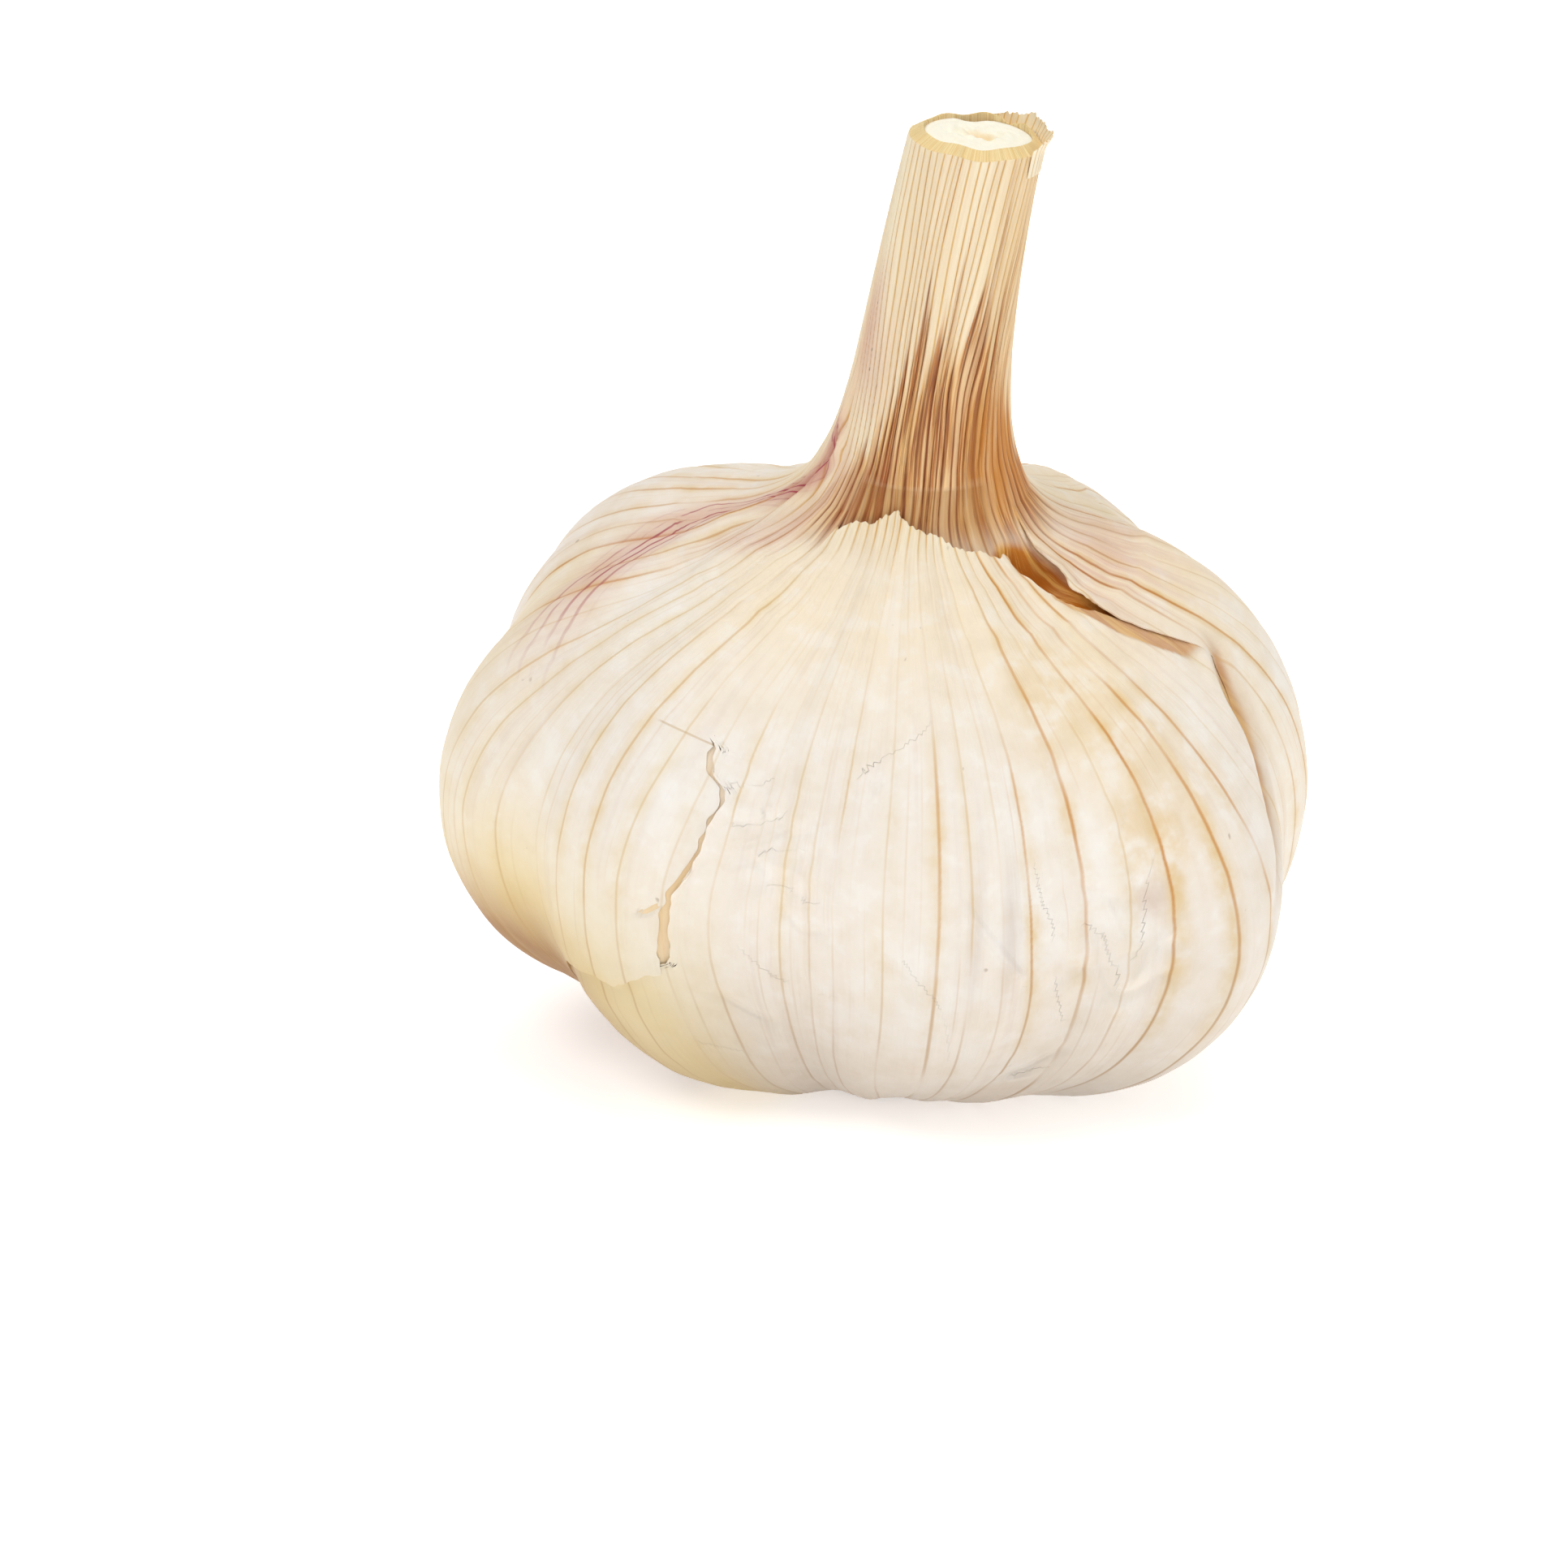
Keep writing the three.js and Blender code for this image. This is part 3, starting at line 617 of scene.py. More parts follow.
def set_grain(made, number, climb):
    """Stores the vein number and the climb as a UV map, which can close round the axis."""
    layer = made.data.uv_layers.active or made.data.uv_layers.new()
    layer.name = "grain"
    corners = np.empty(len(made.data.loops), dtype=np.int32)
    made.data.loops.foreach_get("vertex_index", corners)
    layer.data.foreach_set("uv", np.column_stack([number[corners], climb[corners]]).ravel())


def set_values(made, values):
    for name, numbers in values.items():
        layer = made.data.attributes.new(name, "FLOAT", "POINT")
        layer.data.foreach_set("value", np.asarray(numbers, dtype=np.float32))


def vein_pitch(turn, climb, point, step=0.5):
    """The distance between neighbouring veins in millimetres, from those a step of turn apart."""
    number, _ = vein_place(turn, climb)
    ahead, _ = vein_place(turn + step, climb)
    start, _, _ = ray_starts(climb)
    radius = np.hypot(point[0] - start[0], point[1] - start[1])
    return radius * math.radians(step) / np.maximum(ahead - number, 1e-4)


def set_skin_values(made, turn, climb, point, kind, special=None):
    """Stores all that the skin's material reads; special holds the masks that replace the usual."""
    number, strength = vein_place(turn, climb)
    set_grain(made, number, climb)
    set_values(made, {"strength": strength, "pitch": vein_pitch(turn, climb, point)})
    set_values(made, {**colour_masks(turn, climb, kind), **(special or {})})
    set_values(made, line_values(turn, climb, kind))


def thicken(made, thickness):
    """Gives a sheet its thickness, inward from the laid surface."""
    modifier = made.modifiers.new("Thickness", "SOLIDIFY")
    modifier.thickness, modifier.offset = thickness, -1
    select(made)
    bpy.ops.object.modifier_apply(modifier=modifier.name)


def close(made):
    """Joins a rolled grid's seam and poles, and closes the hole at its end."""
    with editing(made):
        bpy.ops.mesh.remove_doubles(threshold=1e-7)
        bpy.ops.mesh.select_all(action="DESELECT")
        bpy.ops.mesh.select_mode(type="EDGE")
        bpy.ops.mesh.select_non_manifold()
        bpy.ops.mesh.edge_face_add()


def make_round(name, columns, rows, shape):
    """A closed round piece; shape gives its points for the angle round it and the share up it."""
    made, across, up = start_grid(name, columns, rows)
    set_places(made, np.array(shape(2 * math.pi * across, up)))
    close(made)
    return made


def finish_mesh(made, angle):
    """Turns the faces outward and smooths all but the sharp edges."""
    with editing(made):
        bpy.ops.mesh.normals_make_consistent(inside=False)
    bpy.ops.object.shade_smooth_by_angle(angle=math.radians(angle))


def dress(made, material, slot, *nodes):
    made.data.materials.clear()
    made.data.materials.append(material)
    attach(made, "root")
    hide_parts(*nodes)


# ---- shader helpers -----------------------------------------------------------------------------


def maths(operation, reflected=False):
    """A method of Number that adds a Math node."""

    def method(self, other=0.0):
        first, second = (other, self) if reflected else (self, other)
        made = self.shader.node("ShaderNodeMath", {"operation": operation}, {0: first, 1: second})
        return Number(self.shader, made.outputs[0])

    return method


class Number:
    """A shader value that takes part in plain arithmetic."""

    def __init__(self, shader, socket):
        self.shader = shader
        self.socket = socket

    __add__ = __radd__ = maths("ADD")
    __mul__ = __rmul__ = maths("MULTIPLY")
    __sub__, __rsub__ = maths("SUBTRACT"), maths("SUBTRACT", reflected=True)
    __mod__, __rmod__ = maths("FLOORED_MODULO"), maths("FLOORED_MODULO", reflected=True)
    __abs__ = maths("ABSOLUTE")
    sine, cosine = maths("SINE"), maths("COSINE")

    def over(self, low, high):
        """0 below low and 1 above high, with a soft step between, or the reverse if low is higher."""
        sockets = {0: self, 1: low, 2: high, 3: 0.0, 4: 1.0}
        made = self.shader.node("ShaderNodeMapRange", {"interpolation_type": "SMOOTHSTEP"}, sockets)
        return Number(self.shader, made.outputs[0])


class Shader:
    """A new material's node tree, with one method that makes any node."""

    def __init__(self, name):
        self.material = bpy.data.materials.new(name)
        self.material.use_nodes = True
        self.tree = self.material.node_tree
        self.tree.nodes.clear()

    def node(self, kind, settings=None, sockets=None):
        made = self.tree.nodes.new(kind)
        for key, value in (settings or {}).items():
            setattr(made, key, value)
        for key, value in (sockets or {}).items():
            value = value.socket if isinstance(value, Number) else value
            if isinstance(value, bpy.types.NodeSocket):
                self.tree.links.new(value, made.inputs[key])
            else:
                made.inputs[key].default_value = value
        return made

    def attribute(self, name):
        return Number(self, self.node("ShaderNodeAttribute", {"attribute_name": name}).outputs["Fac"])

    def grain(self):
        """The vein number and the climb."""
        uv = self.node("ShaderNodeUVMap", {"uv_map": "grain"}).outputs[0]
        split = self.node("ShaderNodeSeparateXYZ", {}, {0: uv})
        return Number(self, split.outputs[0]), Number(self, split.outputs[1])

    def place(self):
        return self.node("ShaderNodeTexCoord").outputs["Object"]

    def vector(self, x, y, z):
        return self.node("ShaderNodeCombineXYZ", {}, {0: x, 1: y, 2: z}).outputs[0]

    def noise(self, vector, scale, detail=2.0, roughness=0.5):
        sockets = {"Vector": vector, "Scale": scale, "Detail": detail, "Roughness": roughness}
        return Number(self, self.node("ShaderNodeTexNoise", {}, sockets).outputs[0])

    def grain_noise(self, across, along_it, seed, detail=2.0, roughness=0.5):
        """Noise along the veins that closes round the axis: so many waves a vein and a climb."""
        number, climb = self.grain()
        angle = number * (2 * math.pi / VEIN_COUNT)
        radius = across * VEIN_COUNT / (2 * math.pi)
        height = climb * along_it + seed * 7.3
        place = self.vector(angle.cosine() * radius, angle.sine() * radius, height)
        return self.noise(place, 1.0, detail, roughness)

    def layers(self, base, *layers):
        """A base under layers, each (share, colour) or (share, colour, blend). A colour is three
        numbers or a socket."""

        def filled(colour):
            return colour if isinstance(colour, bpy.types.NodeSocket) else (*colour, 1.0)

        for share, colour, *blend in layers:
            settings = {"data_type": "RGBA", "blend_type": blend[0] if blend else "MIX"}
            sockets = {0: share, 6: filled(base), 7: filled(colour)}
            base = self.node("ShaderNodeMix", settings, sockets).outputs[2]
        return base

    def bump(self, height, distance, strength, under=None):
        sockets = {"Height": height, "Distance": distance, "Strength": strength}
        if under is not None:
            sockets["Normal"] = under
        return self.node("ShaderNodeBump", {}, sockets).outputs[0]

    def surface(self, sockets):
        shader = self.node("ShaderNodeBsdfPrincipled", {}, sockets)
        self.node("ShaderNodeOutputMaterial", {}, {0: shader.outputs[0]})
        return self.material


# ---- settings -----------------------------------------------------------------------------------


def length(name, description, default):
    return FloatProperty(
        name=name, description=description, default=default, min=0, unit="LENGTH", precision=5
    )


def colour(name, description, default):
    return FloatVectorProperty(
        name=name, description=description, default=default, size=3, min=0, max=1, subtype="COLOR"
    )


class GarlicSizes(PropertyGroup):
    """Sizes of the dressed bulb."""

    skin_thickness: length("Skin thickness", "Thickness of the papery outer skin", 0.00013)
    rim_width: length("Rim width", "Width of the cut leaf sheaths round the pith", 0.0008)
    root_length: length("Root length", "Length of the dry root stubs", 0.0028)
    root_count: IntProperty(name="Roots", description="Number of dry root stubs", default=110, min=1)


class GarlicColours(PropertyGroup):
    """Colours of the skins, the pith and the roots."""

    paper: colour("Paper", "The outer skin over the body", (0.93, 0.84, 0.74))
    cream: colour("Cream", "The outer skin over the shoulders", (0.97, 0.82, 0.61))
    gold: colour("Gold", "The thin yellow skin low on the left", (0.89, 0.68, 0.27))
    flush: colour("Flush", "The purple flush of the shoulders", (0.62, 0.26, 0.2))
    purple: colour("Purple", "The fine purple lines over the left shoulder", (0.42, 0.08, 0.1))
    # Tan also serves as painted shade under the left lobe and, in part, in the groove.
    tan: colour("Tan", "The brown of the folds and undersides", (0.45, 0.24, 0.09))
    golden_vein: colour("Golden vein", "The strong veins over the shoulders", (0.62, 0.25, 0.03))
    olive_vein: colour("Olive vein", "The faint veins over the shoulders", (0.7, 0.46, 0.17))
    brown_vein: colour("Brown vein", "The veins low on the body", (0.55, 0.33, 0.14))
    rust: colour("Rust", "The brown base of the neck", (0.5, 0.16, 0.02))
    dark_rust: colour("Dark rust", "The dark furrows between the ribs of the neck", (0.25, 0.06, 0.012))
    neck: colour("Neck", "The cream ribs high on the neck", (0.98, 0.86, 0.64))
    straw: colour("Straw", "The cut edge of the leaf sheaths", (0.86, 0.6, 0.24))
    pith: colour("Pith", "The pith of the cut stalk", (1.0, 0.96, 0.8))
    cork: colour("Cork", "The dry root plate", (0.3, 0.18, 0.09))
    root: colour("Root", "The dry roots", (0.58, 0.42, 0.24))
    floor: colour("Floor", "The pale floor", (0.95, 0.95, 0.95))


class GarlicStudio(PropertyGroup):
    """Where the camera stands."""

    elevation: FloatProperty(
        name="Elevation", description="Camera's height above level",
        default=math.radians(24.25), subtype="ANGLE",
    )
    distance: length("Distance", "From the camera to what it looks at", 0.45)
    lens: FloatProperty(
        name="Lens", description="Focal length in millimetres", default=143.6, unit="CAMERA"
    )


# ---- materials ----------------------------------------------------------------------------------


def skin_material(name, colours):
    """Dry papery skin: veins along the grain, faint streaks, stains, painted shade, and fine fibres in
    relief.
    """
    s = Shader(name)
    number, climb = s.grain()
    place = s.place()
    pitch = s.attribute("pitch")
    flush = s.attribute("flush")
    strength = s.attribute("strength") * (1.0 + flush)

    # The veins of the body, with a halo, and two finer ones beside each.
    from_vein = abs((number + 0.5) % 1.0 - 0.5)
    vein_mm = from_vein * pitch
    patchy = s.grain_noise(0.9, 9.0, 1)
    spacious = pitch.over(0.3, 1.6)
    strong = strength.over(0.45, 0.95)
    width = 0.05 + spacious * (0.08 + strong * 0.09)
    line = vein_mm.over(width, 0.02) * strength * patchy.over(0.24, 0.58)
    halo = vein_mm.over(0.05 + pitch * 0.38, 0.02) * strength * patchy.over(0.34, 0.64) * spacious
    beside = abs((number + 0.13) % 1.0 - 0.5) * pitch
    thin = beside.over(0.12, 0.02) * s.grain_noise(0.7, 5.0, 4).over(0.46, 0.66)
    beyond = abs((number + 0.84) % 1.0 - 0.5) * pitch
    thin = thin + beyond.over(0.1, 0.02) * s.grain_noise(0.8, 6.0, 7).over(0.5, 0.7)
    high_vein = s.layers(colours.olive_vein, (strong, colours.golden_vein))
    vein = s.layers(
        colours.brown_vein,
        (climb.over(0.3, 0.44), high_vein),
        (flush * 0.75, (0.4, 0.13, 0.08)),
    )
    glow = s.layers(vein, (0.65, colours.gold))

    # The purple lines over the left shoulder, and the torn top of the slot.
    band, band_here = s.attribute("band"), s.attribute("band_here")
    torn, torn_here = s.attribute("torn"), s.attribute("torn_here")
    fine = s.noise(s.vector(band * 1.3, climb * 16.0, 8.0), 1.0, 2.0, 0.6)
    wave = (s.noise(s.vector(climb * 30.0, 0.0, 3.0), 1.0) - 0.5) * 0.9
    purple_line = abs(((band + wave) * 1.5) % 1.0 - 0.5).over(0.2, 0.05) * fine.over(0.38, 0.52)
    near_band = abs(band).over(2.0, 0.6) * band_here

    streaks = s.grain_noise(2.2, 4.0, 9, 3.0, 0.6)
    fibres = s.grain_noise(14.0, 22.0, 0, 3.0, 0.6)
    clouds = s.noise(place, 95.0, 4.0, 0.55)
    mottle = s.noise(place, 420.0, 3.0, 0.6)
    specks = s.noise(place, 1000.0, 1.0, 0.4)
    halo = halo * (0.35 + mottle.over(0.3, 0.7)) * strength * climb.over(0.22, 0.42)
    body = s.layers(
        colours.paper,
        (s.attribute("cream"), colours.cream),
        (streaks.over(0.5, 0.72) * 0.2, (0.7, 0.54, 0.47)),  # grey streaks
        (clouds.over(0.48, 0.72) * 0.55, (0.98, 0.95, 0.9)),  # white clouds
        (mottle.over(0.5, 0.7) * 0.2, (0.78, 0.64, 0.47)),  # buff mottling
        (mottle.over(0.5, 0.34) * 0.3, (1.0, 0.97, 0.92)),  # and white
        (s.attribute("gold") * (0.9 - clouds * 0.35), colours.gold),
        (flush * (0.35 + streaks.over(0.35, 0.62)) * 0.38, colours.flush),
        (s.attribute("stain") * mottle.over(0.2, 0.62) * 0.5, (0.8, 0.54, 0.22)),
        (s.attribute("blotch") * mottle.over(0.2, 0.6) * 0.38, (0.52, 0.3, 0.22)),
        # Tan: painted shade under the left lobe, the groove's brown with painted shade, and browner at
        # the foot.
        (s.attribute("tan") * clouds.over(0.05, 0.45), colours.tan),
        (s.attribute("smudge") * streaks.over(0.25, 0.6) * 0.3, (0.5, 0.36, 0.31)),
        (halo * 0.75, glow),
        (line * 0.85, vein),
        (thin * 0.24 * spacious * climb.over(0.2, 0.34), vein),
        (s.attribute("low"), (0.55, 0.52, 0.49), "MULTIPLY"),  # the shade near the floor
        (abs(band).over(3.0, 0.2) * band_here * 0.4, colours.flush),
        (purple_line * near_band * 0.9, colours.purple),
        (abs(torn).over(0.09, 0.03) * torn_here * 0.5, (0.62, 0.42, 0.2)),
        (specks.over(0.8, 0.85) * 0.5, (0.3, 0.2, 0.13)),
        (s.attribute("bare") * 0.85, (0.84, 0.6, 0.31)),  # the inner skin in the slot
    )

    # The leaf sheaths of the neck: cream high up, and brown and streaked at the foot.
    stripes = s.grain_noise(1.1, 11.0, 2)
    strands = s.grain_noise(3.4, 16.0, 3, 3.0, 0.6)
    right_side = s.grain_noise(0.22, 2.0, 5, 1.0)
    cluster = s.grain_noise(0.3, 7.0, 11)
    furrow = from_vein.over(0.22, 0.03)
    hairs = abs((number * (HAIR_COUNT / VEIN_COUNT)) % 1.0 - 0.5).over(0.14, 0.03)
    aged = s.attribute("aged") * (0.5 + strands.over(0.4, 0.6) * 0.5)
    band_above_edge = s.attribute("band_above_edge")
    brown = s.layers(
        (0.88, 0.53, 0.19),
        (stripes.over(0.38, 0.6), colours.rust),
        (strands.over(0.5, 0.62) * 0.8, (0.95, 0.66, 0.34)),
        (strands.over(0.49, 0.36) * 0.85, colours.dark_rust),
        (furrow * stripes.over(0.3, 0.48) * 0.9, colours.dark_rust),
        (cluster.over(0.52, 0.66) * (0.15 + furrow * 0.6), colours.dark_rust),
        (cluster.over(0.5, 0.38) * (1.0 - furrow) * 0.75, (0.96, 0.7, 0.4)),
    )
    rust = s.attribute("rust")
    ragged = rust + (stripes - 0.5) * 2.0 + (strands - 0.5) * 1.1
    rusty = ragged.over(0.14, 0.74) * rust.over(0.0, 0.1)
    leaf = s.layers(
        colours.neck,
        (right_side.over(0.42, 0.62) * 0.35, (0.82, 0.58, 0.33)),
        (aged * 0.85, (0.8, 0.52, 0.22)),
        (strands.over(0.45, 0.7) * 0.5, (1.0, 0.9, 0.7)),  # pale strands
        (from_vein.over(0.15, 0.02) * 0.75, (0.72, 0.4, 0.06)),  # golden furrows
        (hairs * stripes.over(0.4, 0.6) * 0.16, (0.66, 0.4, 0.1)),
        (rusty * 0.95, brown),
        (rusty * aged * climb.over(0.89, 0.83) * 0.85, (0.6, 0.21, 0.01)),
        (rusty * s.attribute("blotch") * stripes.over(0.3, 0.6) * 0.9, (0.38, 0.1, 0.02)),
        # The darker band just above the front sheet's top edge, then its paler top.
        (band_above_edge * strands.over(0.25, 0.6) * 0.5, (0.42, 0.2, 0.06)),
        (band_above_edge * (1.0 - band_above_edge) * 0.5 * strands.over(0.3, 0.6), (0.93, 0.76, 0.52)),  # its top edge
        (flush * 0.55 * (1.0 - rusty * 0.8), colours.flush),
        (abs(band).over(2.6, 0.2) * band_here * 0.5, colours.flush),
        (near_band * (0.35 + purple_line) * 0.85, colours.purple),
    )

    # The lining of the tear, the cut edge of the sheaths, and the wall inside them.
    lining = s.layers((0.62, 0.2, 0.01), (strands.over(0.4, 0.62), (0.92, 0.52, 0.13)))
    inside = s.layers((0.76, 0.52, 0.22), (strands.over(0.35, 0.65), (0.95, 0.78, 0.46)))
    cut = s.layers(
        colours.straw, (fibres.over(0.4, 0.6), (0.97, 0.79, 0.44)), (s.attribute("wall"), inside)
    )
    finish = s.layers(
        body,
        (climb.over(0.72, 0.775), leaf),
        (s.attribute("pit").over(0.15, 0.75), lining),
        (s.attribute("cut"), cut),
    )

    crepe = (s.noise(place, 240.0, 3.0, 0.6) - 0.5) * 1.3
    folds = abs(s.noise(place, 150.0) - 0.5).over(0.0, 0.09) * s.attribute("crumple")
    ridge = abs(s.attribute("crease_distance")).over(0.45, 0.0) * s.attribute("crease_height")
    bumps = s.bump((fibres - 0.5) * 0.6 + crepe + line * 0.25, 0.00008, 0.9)
    bumps = s.bump(folds, 0.0001, 0.7, bumps)
    bumps = s.bump(ridge + torn.over(-0.05, 0.05) * torn_here * 0.08, 0.0005, 1.0, bumps)
    return s.surface(
        {
            "Base Color": finish,
            "Roughness": 0.44 + clouds * 0.2,
            "Specular IOR Level": 0.35,
            "Subsurface Weight": 0.1,
            "Subsurface Radius": (1.0, 0.6, 0.35),
            "Subsurface Scale": 0.0006,
            "Normal": bumps,
        }
    )


def pith_material(colours):
    """White spongy pith with a tan hollow."""
    s = Shader("Pith")
    pores = s.noise(s.place(), 2600.0, 2.0, 0.6)
    base = s.layers(
        colours.pith,
        (pores.over(0.4, 0.7) * 0.2, (0.93, 0.84, 0.62)),
        (s.attribute("hollow") * 0.9, (0.86, 0.62, 0.3)),
    )
    return s.surface(
        {
            "Base Color": base,
            "Roughness": 0.8,
            "Subsurface Weight": 0.2,
            "Subsurface Radius": (1.0, 0.8, 0.5),
            "Subsurface Scale": 0.001,
            "Normal": s.bump(pores, 0.0001, 0.7),
        }
    )


def cork_material(colours):
    """Rough dry cork and roots."""
    s = Shader("Dry cork and roots")
    lumps = s.noise(s.place(), 900.0, 4.0, 0.6)
    base = s.layers(colours.cork, (lumps.over(0.35, 0.65), colours.root))
    return s.surface({"Base Color": base, "Roughness": 0.85, "Normal": s.bump(lumps, 0.0002, 0.9)})


def floor_material(colours):
    """A pale floor that glows a little, so that it fades into the background."""
    s = Shader("Pale floor")
    base = s.layers(colours.floor, (s.noise(s.place(), 30.0) * 0.05, (0.9, 0.9, 0.9)))
    return s.surface(
        {
            "Base Color": base,
            "Roughness": 0.9,
            "Specular IOR Level": 0.1,
            "Emission Color": (1.0, 1.0, 1.0, 1.0),
            "Emission Strength": 0.5,
        }
    )


# ---- the pieces ---------------------------------------------------------------------------------

# The sheets' lower and upper edges, as (turn, climb).
LOWER_EDGES = {
    "front": ((203, 0.13), (240, 0.115), (270, 0.125), (300, 0.11), (344, 0.12)),
    "left": (
        (141, 0.12), (165, 0.14), (185, 0.2), (198, 0.28), (204, 0.328), (208, 0.337),
        (214.5, 0.338), (219.5, 0.3345), (221.5, 0.339), (223, 0.344), (226, 0.35), (233, 0.352),
    ),
    "back": ((44, 0.12), (80, 0.13), (110, 0.115), (143, 0.125)),
    "right": ((330, 0.12), (360, 0.115), (385, 0.125), (408, 0.12)),
}
UPPER_EDGES = {
    "front": (
        (226, 0.752), (233, 0.758), (237, 0.766), (242, 0.77), (247, 0.767), (250, 0.774),
        (258, 0.781), (263, 0.773), (272, 0.765), (278, 0.763), (285, 0.753), (297, 0.744),
        (304, 0.736), (310, 0.737),
    ),
    **dict.fromkeys(("left", "back", "right"), ((0, 0.8),)),
}

# The climbs between which a side is torn.
SLOT_SIDE, TEAR_SIDE, WHOLE_SIDE = (0.352, 0.526), (0.55, 0.76), (0, 0)

# Below the slot, the front sheet's first columns go on under the left one, as far as this turn.
FRONT_SPLIT, HEM_TURN = 0.12, 203.0

# The edges are read at the turns of these climbs, and fray by so much of the climb and of a turn.
LOW_CLIMB, HIGH_CLIMB = 0.2, 0.74
EDGE_FRAY, SIDE_FRAY = 0.001, 0.16


def crack(climb, side):
    """The turn of the slot's edge on the left sheet, at side -1, or on the front sheet, at 1."""
    return along(CRACK, climb) + side * np.degrees(along(CRACK_HALF_WIDTH, climb) / SLOT_RADIUS)


def seam(points, reach):
    """The edge of a sheet that reaches so many degrees past a seam."""
    return lambda climb: along(points, climb) + reach


def between(left, right):
    """The turns of a sheet that lies evenly between two edges, each a turn at a climb."""
    return lambda across, climb: left(climb) + (right(climb) - left(climb)) * across


def front_turns(across, climb):
    edge = crack(np.maximum(climb, 0.35), 1)
    inner = edge + 2.5
    hem = edge + (HEM_TURN - edge) * fade(climb, 0.345, 0.358)
    past = (across - FRONT_SPLIT) / (1 - FRONT_SPLIT)
    beyond = inner + (along(TEAR_FRONT, climb) - inner) * past
    return np.where(across < FRONT_SPLIT, hem + (inner - hem) * across / FRONT_SPLIT, beyond)


def front_lift(turn, climb, across, up):
    under = fade(turn, 226, 229) * window(climb, 0.31, 0.332, 0.365, 0.38)
    tear = (0.05 + 0.1 * smoothstep(climb, 0.6, 0.64)) * smoothstep(climb, 0.55, 0.57)
    curled = bump(turn, 232, 8) * bump(climb, 0.44, 0.1) * fade(across, 0.0, 0.03)
    top = smoothstep(up, 0.955, 0.99)
    return 0.12 * (top + curled) - tear * smoothstep(across, 0.95, 1.0) - 0.22 * under


def left_lift(turn, climb, across, up):
    over_back = OVERLAP_LIFT * fade(across, 0.0, 0.09) * fade(climb, 0.69, 0.75)
    hem = smoothstep(turn, 200, 206) * fade(climb, 0.345, 0.36)
    crack_edge = bump(climb, 0.45, 0.11) * smoothstep(across, 0.97, 1.0)
    below_tear = smoothstep(turn, 221.5, 223.5) * fade(climb, 0.5235, 0.5275)
    small = crease_relief(turn, climb, LEFT_SHEET_CREASES)
    return over_back + 0.11 * hem - 0.05 * crack_edge - 0.1 * below_tear + small - dive(climb)


def back_lift(turn, climb, across, up):
    return -dive(climb)


def right_lift(turn, climb, across, up):
    over_back = OVERLAP_LIFT * smoothstep(across, 0.91, 1.0) * fade(climb, 0.69, 0.75)
    lip = (0.22 + 0.34 * smoothstep(climb, 0.6, 0.66)) * window(climb, 0.542, 0.57, 0.7, 0.75)
    return over_back + lip * fade(across, 0.0, 0.12) - dive(climb)


# Each sheet: its name, columns, rows, turns, lift and seed, and how its left and right sides tear.
SHEETS = (
    ("front", 230, 212, front_turns, front_lift, 3, SLOT_SIDE, TEAR_SIDE),
    (
        "left", 190, 190, between(seam(BACK_LEFT_SEAM, -OVERLAP), lambda climb: crack(climb, -1)),
        left_lift, 11, WHOLE_SIDE, SLOT_SIDE,
    ),
    (
        "back", 170, 165, between(seam(BACK_RIGHT_SEAM, 0), seam(BACK_LEFT_SEAM, 0)),
        back_lift, 23, WHOLE_SIDE, WHOLE_SIDE,
    ),
    (
        "right", 180, 190, between(seam(TEAR_BACK, 0), seam(BACK_RIGHT_SEAM, 360 + OVERLAP)),
        right_lift, 37, TEAR_SIDE, WHOLE_SIDE,
    ),
)


def lay_sheet(kind, columns, rows, turns, lift, seed, torn_left, torn_right):
    """One torn sheet of outer skin. Its turns go by the share across and the climb, and it stands
    lift millimetres off the form."""
    made, across, up = start_grid("skin_sheet_" + kind, columns, rows)
    fray = make_waves(seed, 22, 170, 90)
    low_turn, high_turn = turns(across, LOW_CLIMB + 0 * up), turns(across, HIGH_CLIMB + 0 * up)
    low = along(LOWER_EDGES[kind], low_turn) + EDGE_FRAY * fray(low_turn, 0 * up)
    high = along(UPPER_EDGES[kind], high_turn) + EDGE_FRAY * fray(high_turn, 0 * up + 1)
    climb = low + (high - low) * up
    turn = turns(across, climb)
    for share, (start, end) in ((1 - across, torn_left), (across, torn_right)):
        torn = window(climb, start, start + 0.01, end - 0.01, end)
        turn = turn + SIDE_FRAY * smoothstep(share, 0.985, 1.0) * torn * fray(turn * 0 + 70, climb)
    point, normal = lie_on_form(turn, climb)
    number, _ = vein_place(turn, climb)
    lifted = lift(turn, climb, across, up)
    point = point + normal * (relief(turn, climb, number) + lifted)
    point[2] = np.maximum(point[2], np.clip(OVERLAP_LIFT - lifted, 0, OVERLAP_LIFT))
    set_places(made, point)
    set_skin_values(made, turn, climb, point, kind)
    thicken(made, bpy.context.scene.garlic_sizes.skin_thickness)
    bpy.ops.object.shade_smooth_by_angle(angle=math.radians(50))
    return made


class GARLIC_OT_skins(Operator):
    """Lay the four torn sheets of papery outer skin"""

    bl_idname = "garlic.skins"
    bl_label = "Outer skins"

    def execute(self, context):
        material = skin_material("Papery skin", context.scene.garlic_colours)
        for kind, *layout in SHEETS:
            dress(lay_sheet(kind, *layout), material, "outer_skin", "skin_" + kind)
        return {"FINISHED"}


# The bulb's grid goes once round. Its rows line the recess up to the mouth, climb the body to the
# neck's base, climb the neck to the cut, and cross the rim to the wall inside it.
BULB_COLUMNS, BULB_ROWS = 560, 168
MOUTH_ROW, BASE_ROW, CUT_ROW, WALL_ROW = 6, 56, 154, 162
MOUTH_CLIMB, CUT_CLIMB = 0.091, 0.9955
RECESS_RADIUS, RECESS_ROOF = 6.3, 4.8

# The torn film round the rim: the climb it is rooted at, its height and its thickness in metres.
FILM_CLIMB, FILM_HEIGHT, FILM_THICKNESS = 0.984, 2.0, 0.00007

